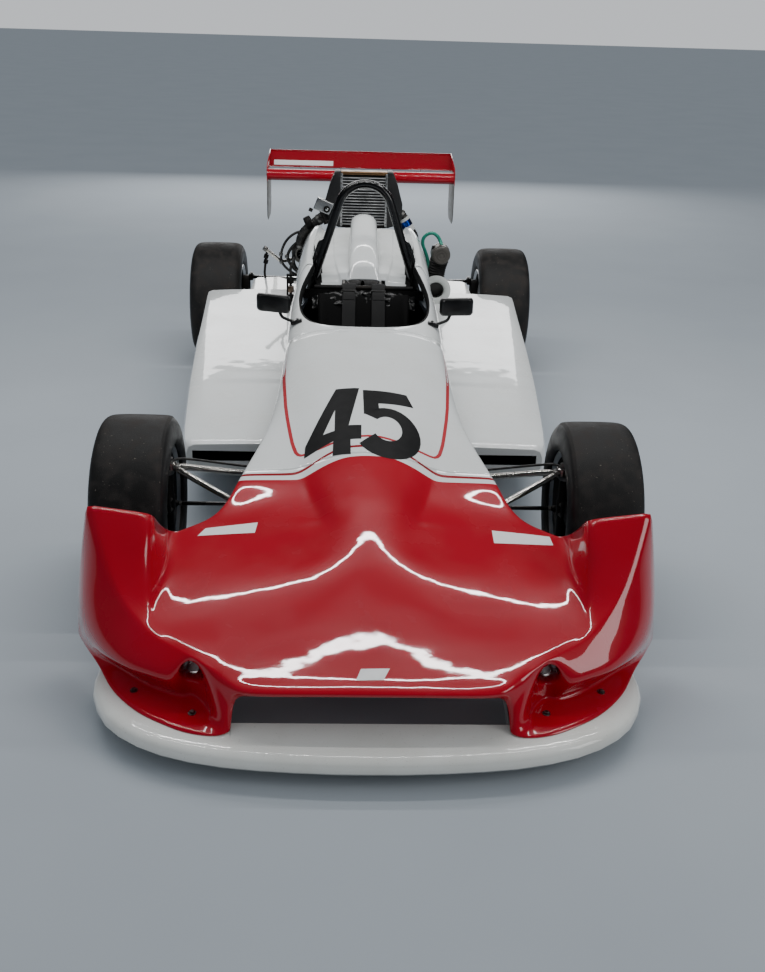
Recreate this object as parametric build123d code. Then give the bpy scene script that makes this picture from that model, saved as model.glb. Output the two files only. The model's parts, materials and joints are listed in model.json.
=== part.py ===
from build123d import *
import os
from math import cos, hypot, radians, sin, sqrt

# Open wheel racing car with a full width nose, sidepods and a rear wing.
# Millimetres. X is the car's left, Y runs rearward, Z is up, the floor is Z 0.
# Stations are measured rearward from the front axle; the finished pieces are
# moved together so that the middle of the car's length stands over the origin.

# Whole car
WHEELBASE = 2500
FRONT_OVERHANG = 1045
REAR_OVERHANG = 795
MIDDLE = (WHEELBASE + REAR_OVERHANG - FRONT_OVERHANG) / 2
WALL = 6
SEAT_GAP = 0.3
RUNNING_FIT = 0.05
MOVING_GAP = 6

# Wheels and tyres
FRONT_TYRE_RADIUS = 270
FRONT_TYRE_WIDTH = 215
FRONT_TRACK = 1405
REAR_TYRE_RADIUS = 287.5
REAR_TYRE_WIDTH = 250
REAR_TRACK = 1430
RIM_RADIUS = 165
RIM_LIP = 12
RIM_WALL = 7
RIM_SINK = 8
TYRE_SHOULDER = 32
TYRE_BEAD_IN = 14
RIM_EDGE = 8
SPOKES = 4
SPOKE_WIDTH = 62
SPOKE_THICK = 14
HUB_RADIUS = 45

# Splitter and nose
SPLITTER_BOTTOM = 41
SPLITTER_TOP = 88
SPLITTER_EDGE = 18
SPLITTER_HALF = 712
SPLITTER_CORNER = 500
SPLITTER_CORNER_DEEP = 69
SPLITTER_SIDE = 651
SPLITTER_SIDE_DEEP = 182
SPLITTER_BACK = -640
MOUTH_HALF = 335
MOUTH_SILL = -895
DUCT_RADIUS = 32
DUCT_X = 440
DUCT_Z = 182
DUCT_START = -910
DUCT_END = -690
NOSE_REAR = -510
NOSE_END = -50

# Tub and its covers
TUB_WALL = 14
TUB_FLOOR = 72
TUB_FRONT = -600
COCKPIT_FRONT = 872
COCKPIT_WIDEST = 1270
COCKPIT_REAR = 1452
COCKPIT_HALF = 262
COCKPIT_REAR_HALF = 232
COCKPIT_MOUTH_HALF = 229
CUT_LOW = 300
CUT_SIDE = 500
CUT_TOP = 900
SCUTTLE_END = 840
TUB_END = 1640
TUB_TOP = 560
COVER_START = 1470
COVER_END = 1905

# Roll hoop
HOOP_RADIUS = 17.5
HOOP_STATION = 1500
HOOP_TOP = 1026
HOOP_BEND = 111
HOOP_LEAN = 18
HOOP_FOOT_Z = 540
HOOP_PLATE = 26

# Front suspension and steering
KINGPIN_X = 615
KINGPIN_RADIUS = 6
UPPER_BALL_Z = 395
LOWER_BALL_Z = 140
BALL_RADIUS = 15
BALL_HEIGHT = 18
ARM_TUBE = 9
ARM_BITE = 4
UPPER_FEET = ((-230, 262), (160, 286))
LOWER_FEET = ((-300, 132), (180, 132))
UPPER_NECK = 26
LOWER_NECK = 12
NECK_RADIUS = 10
NECK_GAP = 6
UPRIGHT_THICK = 30
UPRIGHT_HALF = 26
SPINDLE_RADIUS = 16
STEER_ARM = 100
STEER_ARM_Z = 205
STEER_ARM_THICK = 10
TIE_ROD_RADIUS = 6
TIE_ROD_Z = STEER_ARM_Z + STEER_ARM_THICK + SEAT_GAP + TIE_ROD_RADIUS
RACK_RADIUS = 18
DISC_RADIUS = 120
DISC_THICK = 12
DISC_X = 655

# Steering wheel
WHEEL_STATION = 935
WHEEL_Z = 445
WHEEL_RADIUS = 118
WHEEL_GRIP = 12
COLUMN_RADIUS = 9
DASH_STATION = 800

# Engine, gearbox and rear axle
ENGINE_FRONT = TUB_END
ENGINE_LENGTH = 490
GEARBOX_END = 2860
SHAFT_RADIUS = 12
HUB_SHAFT_RADIUS = 20
FLANGE_X = 130
BELL_HALF = 140
BELL_TOP = 430
ENGINE_HALF = 120
ENGINE_BOTTOM = 96
ENGINE_TOP = 420
HEAD_HALF = 95
HEAD_TOP = 560
CASE_HALF = 92
CASE_BOTTOM = 170
CASE_TOP = 400
CASE_REACH = 180
JOINT_RADIUS = 42
JOINT_LENGTH = 60
REAR_UPRIGHT_X = 566
REAR_UPRIGHT_THICK = 34
REAR_UPRIGHT_HALF = 34
REAR_LOWER_Z = 168
REAR_UPPER_Z = 408
REAR_LOWER_FEET = ((110, 2330, 186), (110, 2650, 186))
REAR_UPPER_FEET = ((104, 2530, 390), (150, 2120, 480))
SPRING_LOW = (470, 2575, 196)
SPRING_HIGH = (240, 2590, 505)
SPRING_RADIUS = 32
TOW_THICK = 10
TOW_RADIUS = 25
TOW_Z = 300

# Rear wing
WING_HALF = 500
WING_LEAD = 2985
WING_CHORD = 215
WING_ANGLE = 3
WING_Z = 845
WING_THICK = 60
FLAP_CHORD = 124
FLAP_ANGLE = 37
FLAP_THICK = 12
FLAP_Z = 864
FLAP_RISE = FLAP_CHORD * sin(radians(FLAP_ANGLE))
FLAP_REACH = FLAP_CHORD * cos(radians(FLAP_ANGLE))
ENDPLATE = 4
FLAP_LEAD = WHEELBASE + REAR_OVERHANG - ENDPLATE - FLAP_REACH
ENDPLATE_LOW = 622
PYLON_THICK = 6
PYLON_HALF = 58

# Nose, half sections. Columns: station, foot x, root x z, brow x z, belly x z,
# crest outer x z, crest inner x z, pan x z, hump foot x z, hump shoulder x z, top z
NOSE_FRONT = [
    (-944, 354, 349, 94, 345, 150, 342, 168, 337, 178, 318, 190, 290, 197, 184, 200, 110, 201, 201),
    (-900, 516, 384, 94, 378, 148, 376, 166, 364, 188, 345, 202, 328, 208, 192, 214, 114, 217, 218),
    (-850, 584, 403, 94, 402, 148, 405, 176, 410, 206, 398, 217, 380, 222, 202, 228, 119, 231, 233),
    (-800, 628, 478, 94, 545, 150, 612, 178, 480, 229, 456, 234, 436, 236, 214, 244, 125, 249, 249),
    (-740, 660, 577, 94, 622, 145, 680, 190, 572, 258, 543, 255, 515, 256, 225, 264, 128, 270, 272),
    (-650, 703, 678, 94, 714, 134, 742, 222, 652, 318, 577, 299, 543, 274, 220, 288, 126, 294, 299),
    (-580, 754, 756, 112, 763, 142, 770, 245, 702, 398, 573, 384, 541, 290, 215, 305, 120, 314, 319),
    (NOSE_REAR, 791, 790, 112, 788, 150, 776, 290, 741, 486, 573, 464, 538, 302, 200, 325, 110, 336,
     341),
]
# Columns: station, edge x z, hump foot x z, hump shoulder x z, top z
NOSE_DECK = [
    (NOSE_REAR, 538, 302, 200, 325, 110, 336, 341),
    (-410, 565, 330, 150, 336, 92, 353, 366),
    (-315, 553, 308, 134, 346, 92, 373, 391),
    (-254, 465, 322, 158, 350, 108, 385, 407),
    (-190, 419, 344, 174, 361, 122, 400, 424),
    (-100, 392, 380, 203, 385, 142, 418, 447),
    (NOSE_END, 381, 388, 208, 399, 147, 430, 461),
]
# Scuttle and cockpit surround. Columns: station, foot x z, side x z,
# shoulder x z, crown x z, top z
SCUTTLE = [
    (NOSE_END, 381, 374, 381, 388, 208, 399, 147, 430, 461),
    (60, 358, 380, 354, 404, 219, 423, 150, 453, 483),
    (160, 335, 378, 332, 420, 232, 441, 157, 473, 501),
    (320, 312, 372, 310, 436, 248, 470, 168, 503, 526),
    (560, 304, 350, 300, 472, 264, 515, 180, 546, 564),
    (SCUTTLE_END, 301, 310, 297, 498, 268, 561, 188, 590, 603),
]
SURROUND = [
    (SCUTTLE_END, 301, 310, 297, 498, 268, 561, 188, 590, 603),
    (1060, 300, 310, 299, 510, 286, 590, 200, 612, 618),
    (1270, 300, 310, 301, 514, 288, 604, 206, 628, 634),
    (1400, 297, 310, 297, 530, 282, 618, 225, 648, 650),
    (COVER_START, 293, 310, 291, 536, 276, 636, 238, 700, 702),
]
# Engine cover. Columns: station, foot x z, side x z, shoulder x z, ridge outer x z,
# ridge inner x z, gutter x z, top z
COVER = [
    (COVER_START, 290, 420, 289, 536, 276, 636, 250, 690, 232, 698, 226, 626, 630),
    (1510, 291, 422, 290, 540, 279, 642, 254, 700, 234, 710, 226, 654, 660),
    (1600, 292, 430, 292, 550, 283, 648, 260, 712, 234, 738, 224, 684, 694),
    (1760, 290, 440, 292, 565, 282, 655, 258, 730, 218, 784, 206, 726, 738),
    (COVER_END, 284, 450, 290, 580, 281, 655, 252, 740, 200, 816, 188, 764, 776),
]
# Bump on the cover. Columns: station, half width, foot z, side z, top z
BUMP = [
    (1480, 62, 634, 640, 644),
    (1520, 61, 656, 690, 704),
    (1600, 58, 688, 750, 782),
    (1690, 56, 714, 796, 836),
    (1760, 55, 732, 820, 860),
    (1815, 52, 746, 816, 852),
    (1850, 44, 754, 794, 818),
    (1868, 30, 760, 770, 782),
]
# Tub, half sections. Columns: station, half width, bottom chamfer, top z
TUB = [
    (TUB_FRONT, 175, 30, 236),
    (-200, 205, 34, 322),
    (120, 222, 36, 404),
    (560, 262, 40, 462),
    (COCKPIT_FRONT - 60, 270, 30, 530),
    (COCKPIT_WIDEST, 270, 14, TUB_TOP),
    (TUB_END, 262, 14, TUB_TOP),
]
UNDERTRAY_FRONT = 860
UNDERTRAY_BACK = 1820
UNDERTRAY_HALF = 600
# Sidepod, car's left. Columns: station, inner x, outer x, bottom z, top z
POD = [
    (400, 316, 618, 205, 306),
    (470, 314, 630, 175, 326),
    (UNDERTRAY_FRONT, 310, 657, TUB_FLOOR, 352),
    (1300, 308, 690, TUB_FLOOR, 378),
    (UNDERTRAY_BACK, 308, 718, TUB_FLOOR, 400),
    (2140, 308, 737, 110, 411),
]
POD_TAIL = 2360
POD_TAIL_HALF = 540
POD_TAIL_Z = 415
POD_EDGE = 26
POD_LIP = 40
SLOT_BOTTOM = 250
SLOT_TOP = 284
SLOT_OUTER = 590

# Seat, mirrors and cooler
SEAT_FRONT = 1010
SEAT_TOP = 585
SEAT_HALF = 190
SEAT_WALL = 14
SEAT_CUSHION = 190
BELT_WIDTH = 56
BELT_HALF = 63
BELT_THICK = 5
RACK_HALF = 150
DASH_HALF = 238
DASH_LOW = 330
DASH_TOP = 500
MIRROR_X = 348
MIRROR_STATION = 1000
MIRROR_Z = 656
MIRROR_WIDE = 128
MIRROR_HIGH = 68
MIRROR_DEEP = 34
MIRROR_FOOT_X = 266
MIRROR_FOOT_Z = 578
COOLER_STATION = 1916
COOLER_LOW = 770
COOLER_TOP = 1018
COOLER_HALF = 103
SHROUD_TOP_HALF = 129
SHROUD_HALF = 175
SHROUD_KNEE = 880
SLATS = 14
SLAT_THICK = 6
SLAT_DEEP = 27
CORE_FRONT = 26
CORE_BACK = 66
SHROUD_DEEP = 70
COOLER_LEG = 8
COOLER_RIM = 10

# Turbocharger on the car's right with the pipes that meet it. Points are x, station, z
TURBO = (-276, 1985, 640)
TURBO_RADIUS = 52
TURBO_WIDE = 56
TURBINE_RADIUS = 42
TURBO_MOUTH = 28
EXHAUST_POINTS = [(-276, 2069, 640), (-216, 2069, 530), (-ENGINE_HALF, 2069, 380)]
EXHAUST_RADIUS = 24
WASTEGATE_POINTS = [(-296, 2069, 600), (-356, 2005, 595), (-426, 1995, 660)]
WASTEGATE_RADIUS = 8
# Boost pipe from the cooler's end, on the car's left; the right one ends in the turbocharger
BOOST_POINTS = [(165, 1956, 830), (230, 1976, 780)]
BOOST_END = (75, 1985, 480)
BOOST_RADIUS = 23

# Air intake on the car's left: inlet plate, hose, filter can and bracket
INLET = (352, 1975, 488)
INLET_RADIUS = 66
INLET_HOLE = 28
INLET_THICK = 14
FILTER = (366, 1975, 643)
FILTER_RADIUS = 43
FILTER_LENGTH = 90
HOSE_RADIUS = 31
HOSE_STATION = 2024
BRACKET_RADIUS = 8
BRACKET_FOOT = (HEAD_HALF, HOSE_STATION, 530)

# Rain light on the gearbox: width, height, depth
RAIN_LIGHT = (96, 46, 42)
RAIN_LIGHT_Z = 345

REAR_AXLE = WHEELBASE
PARTS = {}


def keep(name, shape):
    """Moves a finished piece to the shared origin and files it by name."""
    PARTS[name] = Pos(0, -MIDDLE, 0) * shape


def rod(start, end, radius):
    """Round bar between two points."""
    start, end = Vector(*start), Vector(*end)
    run = end - start
    return Plane(origin=start, z_dir=run) * Cylinder(
        radius, run.length, align=(Align.CENTER, Align.CENTER, Align.MIN))


def block(low, high):
    """Box between its lowest and highest corners."""
    size = [b - a for a, b in zip(low, high)]
    return Pos(*low) * Box(*size, align=(Align.MIN, Align.MIN, Align.MIN))


def across(x, station, height, radius, length):
    """Round bar along X whose near end is at x."""
    return rod((x, station, height), (x + length, station, height), radius)


def mirrored(shape):
    return mirror(shape, Plane.YZ)


def ring(station, outline):
    """Closed section in the XZ plane at a station."""
    return Wire.make_polygon([(x, station, z) for x, z in outline], close=True)


def inset(path, wall):
    """Open path moved to its inner side by the wall, mitred at each corner."""
    moved = []
    for i, (x, z) in enumerate(path):
        before = path[max(i - 1, 0)]
        after = path[min(i + 1, len(path) - 1)]
        turns = []
        for a, b in ((before, (x, z)), ((x, z), after)):
            length = hypot(b[0] - a[0], b[1] - a[1])
            if length:
                turns.append(((a[1] - b[1]) / length, (b[0] - a[0]) / length))
        nx = sum(t[0] for t in turns) / len(turns)
        nz = sum(t[1] for t in turns) / len(turns)
        scale = wall / (nx * nx + nz * nz)
        moved.append((x + nx * scale, z + nz * scale))
    return moved


def arch(sections, wall):
    """Open shell: each section is half an outline, from its foot to the centre line."""
    rings = []
    for station, half in sections:
        outer = half + [(-x, z) for x, z in reversed(half) if x > 0]
        rings.append(ring(station, outer + list(reversed(inset(outer, wall)))))
    return Solid.make_loft(rings, ruled=True)


def closed(sections):
    """Solid body through closed outlines."""
    return Solid.make_loft([ring(s, outline) for s, outline in sections], ruled=True)


def pairs(row, first):
    """Points x z of a table row from the given column on, closed by its top z."""
    return list(zip(row[first:-1:2], row[first + 1:-1:2])) + [(0, row[-1])]


def nose_outline(row):
    """Half outline; the foot stands on the splitter at the root's height."""
    return [(row[1], row[3])] + pairs(row, 2)


def nose():
    """Full width nose: open shell with the mouth at its front and a duct each side."""
    front = arch([(row[0], nose_outline(row)) for row in NOSE_FRONT], WALL)
    deck = arch([(row[0], pairs(row, 1)) for row in NOSE_DECK], WALL)
    shell = front + deck
    for side in (-1, 1):
        shell -= rod((side * DUCT_X, DUCT_START, DUCT_Z),
                     (side * DUCT_X, DUCT_END, DUCT_Z), DUCT_RADIUS)
    return shell


def splitter():
    """Crescent board under the nose, its front edge rounded."""
    front = -FRONT_OVERHANG
    corner_x, corner_y = SPLITTER_CORNER, front + SPLITTER_CORNER_DEEP
    mid_x, mid_y = SPLITTER_SIDE, front + SPLITTER_SIDE_DEEP
    edge = [
        ThreePointArc((-corner_x, corner_y), (0, front), (corner_x, corner_y)),
        ThreePointArc((corner_x, corner_y), (mid_x, mid_y), (SPLITTER_HALF, SPLITTER_BACK)),
        Line((SPLITTER_HALF, SPLITTER_BACK), (-SPLITTER_HALF, SPLITTER_BACK)),
        ThreePointArc((-SPLITTER_HALF, SPLITTER_BACK), (-mid_x, mid_y), (-corner_x, corner_y)),
    ]
    board = extrude(make_face(Wire(edge)), SPLITTER_TOP - SPLITTER_BOTTOM)
    rims = board.edges().filter_by(GeomType.CIRCLE)
    board = fillet(rims, SPLITTER_EDGE)
    board = Pos(0, 0, SPLITTER_BOTTOM) * board
    return board - block((-MOUTH_HALF, MOUTH_SILL, 0), (MOUTH_HALF, 0, 2 * SPLITTER_TOP))


def tub_solid(wall):
    """The tub's outer form, moved inward on every side by the wall."""
    rows = [list(row) for row in TUB]
    rows[0][0] += wall
    rows[-1][0] -= wall
    sections = []
    for station, half, chamfer, top in rows:
        low, high, wide = TUB_FLOOR + wall, top - wall, half - wall
        sections.append((station, [
            (wide - chamfer, low), (wide, low + chamfer), (wide, high - chamfer),
            (wide - chamfer, high), (chamfer - wide, high), (-wide, high - chamfer),
            (-wide, low + chamfer), (chamfer - wide, low)]))
    return closed(sections)


def tub():
    """Hollow monocoque with an open cockpit, closed by a bulkhead at each end."""
    shell = tub_solid(0) - tub_solid(TUB_WALL) - cockpit_hole(CUT_LOW, CUT_TOP)
    for side in (-1, 1):
        shell -= across(side * 150, STEER_ARM, TIE_ROD_Z, TIE_ROD_RADIUS + MOVING_GAP,
                        side * 200)
    return shell


def cockpit_hole(low, high):
    """Egg shaped cockpit opening seen from above."""
    half, rear = COCKPIT_HALF, COCKPIT_REAR_HALF
    edge = [
        ThreePointArc((half, COCKPIT_WIDEST), (0.72 * half, COCKPIT_FRONT + 74),
                      (0, COCKPIT_FRONT)),
        ThreePointArc((0, COCKPIT_FRONT), (-0.72 * half, COCKPIT_FRONT + 74),
                      (-half, COCKPIT_WIDEST)),
        Line((-half, COCKPIT_WIDEST), (-rear, COCKPIT_REAR)),
        Line((-rear, COCKPIT_REAR), (rear, COCKPIT_REAR)),
        Line((rear, COCKPIT_REAR), (half, COCKPIT_WIDEST)),
    ]
    return Pos(0, 0, low) * extrude(make_face(Wire(edge)), high - low)


def sidepod():
    """Hollow pod on the car's left with an inlet slot at its front and an open tail."""
    def outline(inner, outer, low, high, wall):
        x0, x1, z0, z1 = inner + wall, outer - wall, low + wall, high - wall
        return [(x0, z0), (x1 - POD_EDGE, z0), (x1, z0 + POD_EDGE), (x1, z1 - POD_EDGE),
                (x1 - POD_EDGE, z1), (x0, z1)]

    tail = [(POD[-1][0], POD[-1][1], POD_TAIL_HALF, 180, POD[-1][4]),
            (POD_TAIL, POD[-1][1], POD_TAIL_HALF, 200, POD_TAIL_Z)]
    shell = closed([(s, outline(a, b, c, d, 0)) for s, a, b, c, d in POD])
    shell += closed([(s, outline(a, b, c, d, 0)) for s, a, b, c, d in tail])
    hollow = [list(row) for row in POD]
    hollow[0][0] += POD_LIP
    hollow[-1][0] += 1
    shell -= closed([(s, outline(a, b, c, d, WALL)) for s, a, b, c, d in hollow])
    deep = [(s + i, a, b, c, d) for i, (s, a, b, c, d) in zip((-WALL, WALL), tail)]
    shell -= closed([(s, outline(a, b, c, d, WALL)) for s, a, b, c, d in deep])
    slot = block((POD[0][1] + WALL, POD[0][0] - 1, SLOT_BOTTOM),
                 (SLOT_OUTER, POD[0][0] + POD_LIP + 40, SLOT_TOP))
    return shell - slot


def undertray():
    """Flat floor under the tub that carries both sidepods."""
    return block((-UNDERTRAY_HALF, UNDERTRAY_FRONT, TUB_FLOOR - WALL),
                 (UNDERTRAY_HALF, UNDERTRAY_BACK, TUB_FLOOR))


def cockpit_mouth():
    """Gap by which the cockpit runs on rearward between the surround's sides."""
    return block((-COCKPIT_MOUTH_HALF, COCKPIT_REAR - 1, CUT_SIDE),
                 (COCKPIT_MOUTH_HALF, COVER_START + 1, CUT_TOP))


def engine_cover():
    """Cover with a raised ridge each side, a long bump, and holes for the hoop's legs."""
    cover = arch([(row[0], pairs(row, 1)) for row in COVER], WALL)
    ridge = [(station, [(-half, foot), (half, foot), (half, side), (half / 2, top),
                        (-half / 2, top), (-half, side)])
             for station, half, foot, side, top in BUMP]
    return cover + closed(ridge) - hoop_tube(HOOP_RADIUS + SEAT_GAP)


def hoop_path():
    """Legs lean inward and meet in one tangent arc at the top."""
    lean = radians(HOOP_LEAN)
    x_turn = HOOP_BEND * cos(lean)
    z_turn = HOOP_TOP - HOOP_BEND + HOOP_BEND * sin(lean)
    x_foot = x_turn + (z_turn - HOOP_FOOT_Z) * sin(lean) / cos(lean)
    y = HOOP_STATION
    right = Line((-x_foot, y, HOOP_FOOT_Z), (-x_turn, y, z_turn))
    top = ThreePointArc((-x_turn, y, z_turn), (0, y, HOOP_TOP), (x_turn, y, z_turn))
    left = Line((x_turn, y, z_turn), (x_foot, y, HOOP_FOOT_Z))
    return Wire([right, top, left]), x_foot


def hoop_tube(radius):
    path, _ = hoop_path()
    start = Plane(origin=path @ 0, z_dir=path % 0)
    return sweep(start * Circle(radius), path)


def roll_hoop():
    """Bent tube on two foot plates."""
    _, x_foot = hoop_path()
    tube = hoop_tube(HOOP_RADIUS)
    hoop = tube - block((-400, HOOP_STATION - 100, 0), (400, HOOP_STATION + 100, TUB_TOP + 1))
    for side in (-1, 1):
        x = side * x_foot
        hoop += block((x - HOOP_PLATE, HOOP_STATION - HOOP_PLATE, TUB_TOP),
                      (x + HOOP_PLATE, HOOP_STATION + HOOP_PLATE, TUB_TOP + 8))
    return hoop


def tyre(radius, width):
    """Slick tyre about X at the origin, its beads resting just off the rim."""
    half = width / 2
    bead = half - TYRE_BEAD_IN
    seat = RIM_RADIUS + SEAT_GAP
    lip = RIM_RADIUS + RIM_LIP + SEAT_GAP
    tread = half - TYRE_SHOULDER
    drop = radius - TYRE_SHOULDER
    turn = TYRE_SHOULDER * sqrt(0.5)
    middle = (lip + drop) / 2
    edge = [Line((-tread, radius), (tread, radius)),
            ThreePointArc((tread, radius), (tread + turn - 2, drop + turn), (half - 4, drop)),
            ThreePointArc((half - 4, drop), (half, middle), (bead, lip)),
            Line((bead, lip), (bead, seat)),
            Line((bead, seat), (-bead, seat)),
            Line((-bead, seat), (-bead, lip)),
            ThreePointArc((-bead, lip), (-half, middle), (4 - half, drop)),
            ThreePointArc((4 - half, drop), (-tread - turn + 2, drop + turn), (-tread, radius))]
    return revolve(make_face(Wire(edge)), Axis.X)


def rim(width, bore, hub_in):
    """Wheel about X at the origin, outboard side at +X: barrel, spokes, hub, brake disc."""
    half = width / 2 - TYRE_BEAD_IN + RIM_EDGE
    inner = RIM_RADIUS - RIM_WALL
    barrel = across(-half, 0, 0, RIM_RADIUS, 2 * half)
    for end in (-half, half - RIM_EDGE + SEAT_GAP):
        barrel += across(end, 0, 0, RIM_RADIUS + RIM_LIP, RIM_EDGE - SEAT_GAP)
    barrel -= across(-half - 1, 0, 0, inner, 2 * half + 2)
    face = half - RIM_SINK - SPOKE_THICK
    wheel = barrel
    for i in range(SPOKES):
        spoke = block((face, HUB_RADIUS * 0.6, -SPOKE_WIDTH / 2),
                      (face + SPOKE_THICK, inner + 2, SPOKE_WIDTH / 2))
        wheel += Rot(i * 360 / SPOKES, 0, 0) * spoke
    wheel += across(hub_in, 0, 0, HUB_RADIUS, face + SPOKE_THICK - hub_in)
    wheel += across(hub_in + 12, 0, 0, DISC_RADIUS, DISC_THICK)
    if bore:
        wheel -= across(hub_in - 1, 0, 0, bore, face - hub_in)
    return wheel


def front_wheel_hub_in():
    return KINGPIN_X + UPRIGHT_THICK / 2 + MOVING_GAP - FRONT_TRACK / 2


def knuckle():
    """Front upright on the car's left: spindle, kingpins, caliper and steering arm."""
    z_hub = FRONT_TYRE_RADIUS
    x0, x1 = KINGPIN_X - UPRIGHT_THICK / 2, KINGPIN_X + UPRIGHT_THICK / 2
    low = LOWER_BALL_Z + BALL_HEIGHT / 2 + SEAT_GAP
    high = UPPER_BALL_Z - BALL_HEIGHT / 2 - SEAT_GAP
    body = block((x0, -UPRIGHT_HALF, low + LOWER_NECK), (x1, UPRIGHT_HALF, high - UPPER_NECK))
    body += rod((KINGPIN_X, 0, low), (KINGPIN_X, 0, high - NECK_GAP), NECK_RADIUS)
    body += rod((KINGPIN_X, 0, LOWER_BALL_Z - BALL_HEIGHT / 2 - 3),
                (KINGPIN_X, 0, UPPER_BALL_Z + BALL_HEIGHT / 2 + 3), KINGPIN_RADIUS)
    hub_reach = FRONT_TYRE_WIDTH / 2 - TYRE_BEAD_IN + RIM_EDGE - RIM_SINK - SPOKE_THICK
    end = FRONT_TRACK / 2 + hub_reach - 2
    body += across(x1 - 1, 0, z_hub, SPINDLE_RADIUS, end - x1 + 1)
    body += block((x0, 0, STEER_ARM_Z), (x1, STEER_ARM + 12, STEER_ARM_Z + STEER_ARM_THICK))
    disc_in = FRONT_TRACK / 2 + front_wheel_hub_in() + 12
    body += block((x0, -DISC_RADIUS + 18, z_hub - 26), (x1, 0, z_hub + 26))
    body += caliper(x0, disc_in, z_hub, 0)
    return body


def caliper(x0, disc_in, z_hub, station):
    """Brake caliper that straddles the disc ahead of the hub."""
    x1 = disc_in + DISC_THICK + MOVING_GAP + 16
    jaw = block((x0, station - DISC_RADIUS - 22, z_hub - 46),
                (x1, station - DISC_RADIUS + 42, z_hub + 46))
    slot = across(disc_in - MOVING_GAP, station, z_hub, DISC_RADIUS + MOVING_GAP,
                  DISC_THICK + 2 * MOVING_GAP)
    return jaw - slot - across(x0 + UPRIGHT_THICK, station, z_hub, HUB_RADIUS + 34, 100)


def boss(x, station, z, bore):
    eye = rod((x, station, z - BALL_HEIGHT / 2), (x, station, z + BALL_HEIGHT / 2), BALL_RADIUS)
    hole = rod((x, station, z - BALL_HEIGHT), (x, station, z + BALL_HEIGHT), bore)
    return eye, hole


def tub_half(station):
    """Half width of the tub at a station, between its sections."""
    for a, b in zip(TUB, TUB[1:]):
        if a[0] <= station <= b[0]:
            return a[1] + (b[1] - a[1]) * (station - a[0]) / (b[0] - a[0])
    raise ValueError(station)


def front_arms():
    """Upper and lower wishbones on the car's left, open round the kingpins."""
    pieces = []
    seat = tub_solid(-SEAT_GAP)
    for z, feet in ((UPPER_BALL_Z, UPPER_FEET), (LOWER_BALL_Z, LOWER_FEET)):
        arm, hole = boss(KINGPIN_X, 0, z, KINGPIN_RADIUS + RUNNING_FIT)
        for station, foot_z in feet:
            foot = (tub_half(station) - ARM_BITE, station, foot_z)
            arm += rod((KINGPIN_X - BALL_RADIUS / 2, 0, z), foot, ARM_TUBE)
        pieces.append(arm - hole - seat)
    return pieces[0] + pieces[1]


def rear_upright():
    """Rear upright on the car's left, bored for the hub shaft, with its caliper."""
    z = REAR_TYRE_RADIUS
    x0 = REAR_UPRIGHT_X
    body = block((x0, REAR_AXLE - REAR_UPRIGHT_HALF, REAR_LOWER_Z - ARM_TUBE),
                 (x0 + REAR_UPRIGHT_THICK, REAR_AXLE + REAR_UPRIGHT_HALF, REAR_UPPER_Z + ARM_TUBE))
    body += across(x0 - 6, REAR_AXLE, z, HUB_SHAFT_RADIUS + 18, REAR_UPRIGHT_THICK + 6)
    disc_in = REAR_TRACK / 2 + rear_hub_in() + 12
    body += block((x0, REAR_AXLE - DISC_RADIUS, z - 26), (x0 + 16, REAR_AXLE, z + 26))
    body += caliper(x0, disc_in, z, REAR_AXLE)
    return body - across(x0 - 10, REAR_AXLE, z, HUB_SHAFT_RADIUS + RUNNING_FIT,
                         REAR_UPRIGHT_THICK + 20)


def rear_hub_in():
    return REAR_UPRIGHT_X + REAR_UPRIGHT_THICK + MOVING_GAP - REAR_TRACK / 2


def rear_shaft():
    """Hub shaft, joints and driveshaft on the car's left, which turn with the wheel."""
    z = REAR_TYRE_RADIUS
    joint_out = REAR_UPRIGHT_X - MOVING_GAP - 6
    shaft = across(REAR_TRACK / 2 + rear_hub_in(), REAR_AXLE, z, HUB_SHAFT_RADIUS,
                   joint_out - JOINT_LENGTH - REAR_TRACK / 2 - rear_hub_in())
    shaft += across(joint_out, REAR_AXLE, z, JOINT_RADIUS, -JOINT_LENGTH)
    shaft += across(FLANGE_X + MOVING_GAP, REAR_AXLE, z, JOINT_RADIUS, JOINT_LENGTH)
    shaft += across(FLANGE_X - 30, REAR_AXLE, z, SHAFT_RADIUS, joint_out - FLANGE_X)
    return shaft


def rear_arms():
    """Lower wishbone, upper link and spring leg on the car's left."""
    x0 = REAR_UPRIGHT_X
    arms = None
    for z, feet in ((REAR_LOWER_Z, REAR_LOWER_FEET), (REAR_UPPER_Z, REAR_UPPER_FEET)):
        for x, station, foot_z in feet:
            leg = rod((x0 - 12, REAR_AXLE, z), (x, station, foot_z), ARM_TUBE)
            arms = leg if arms is None else arms + leg
        arms += block((x0 - 26, REAR_AXLE - 16, z - 14), (x0, REAR_AXLE + 16, z + 14))
    return arms


def spring_leg(top_beam, arms):
    """Damper with its coil spring as a plain sleeve, from the lower wishbone to the beam."""
    low, high = Vector(*SPRING_LOW), Vector(*SPRING_HIGH)
    run = high - low
    leg = rod(low, high, 8)
    leg += rod(low + run * 0.22, low + run * 0.86, SPRING_RADIUS)
    return leg - top_beam - arms


def engine():
    """Engine block and head as one plain mass behind the tub."""
    block_low = block((-ENGINE_HALF, ENGINE_FRONT, ENGINE_BOTTOM),
                      (ENGINE_HALF, ENGINE_FRONT + ENGINE_LENGTH, ENGINE_TOP))
    head = block((-HEAD_HALF, ENGINE_FRONT + 20, ENGINE_TOP),
                 (HEAD_HALF, ENGINE_FRONT + ENGINE_LENGTH - 20, HEAD_TOP))
    return block_low + head


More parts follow.
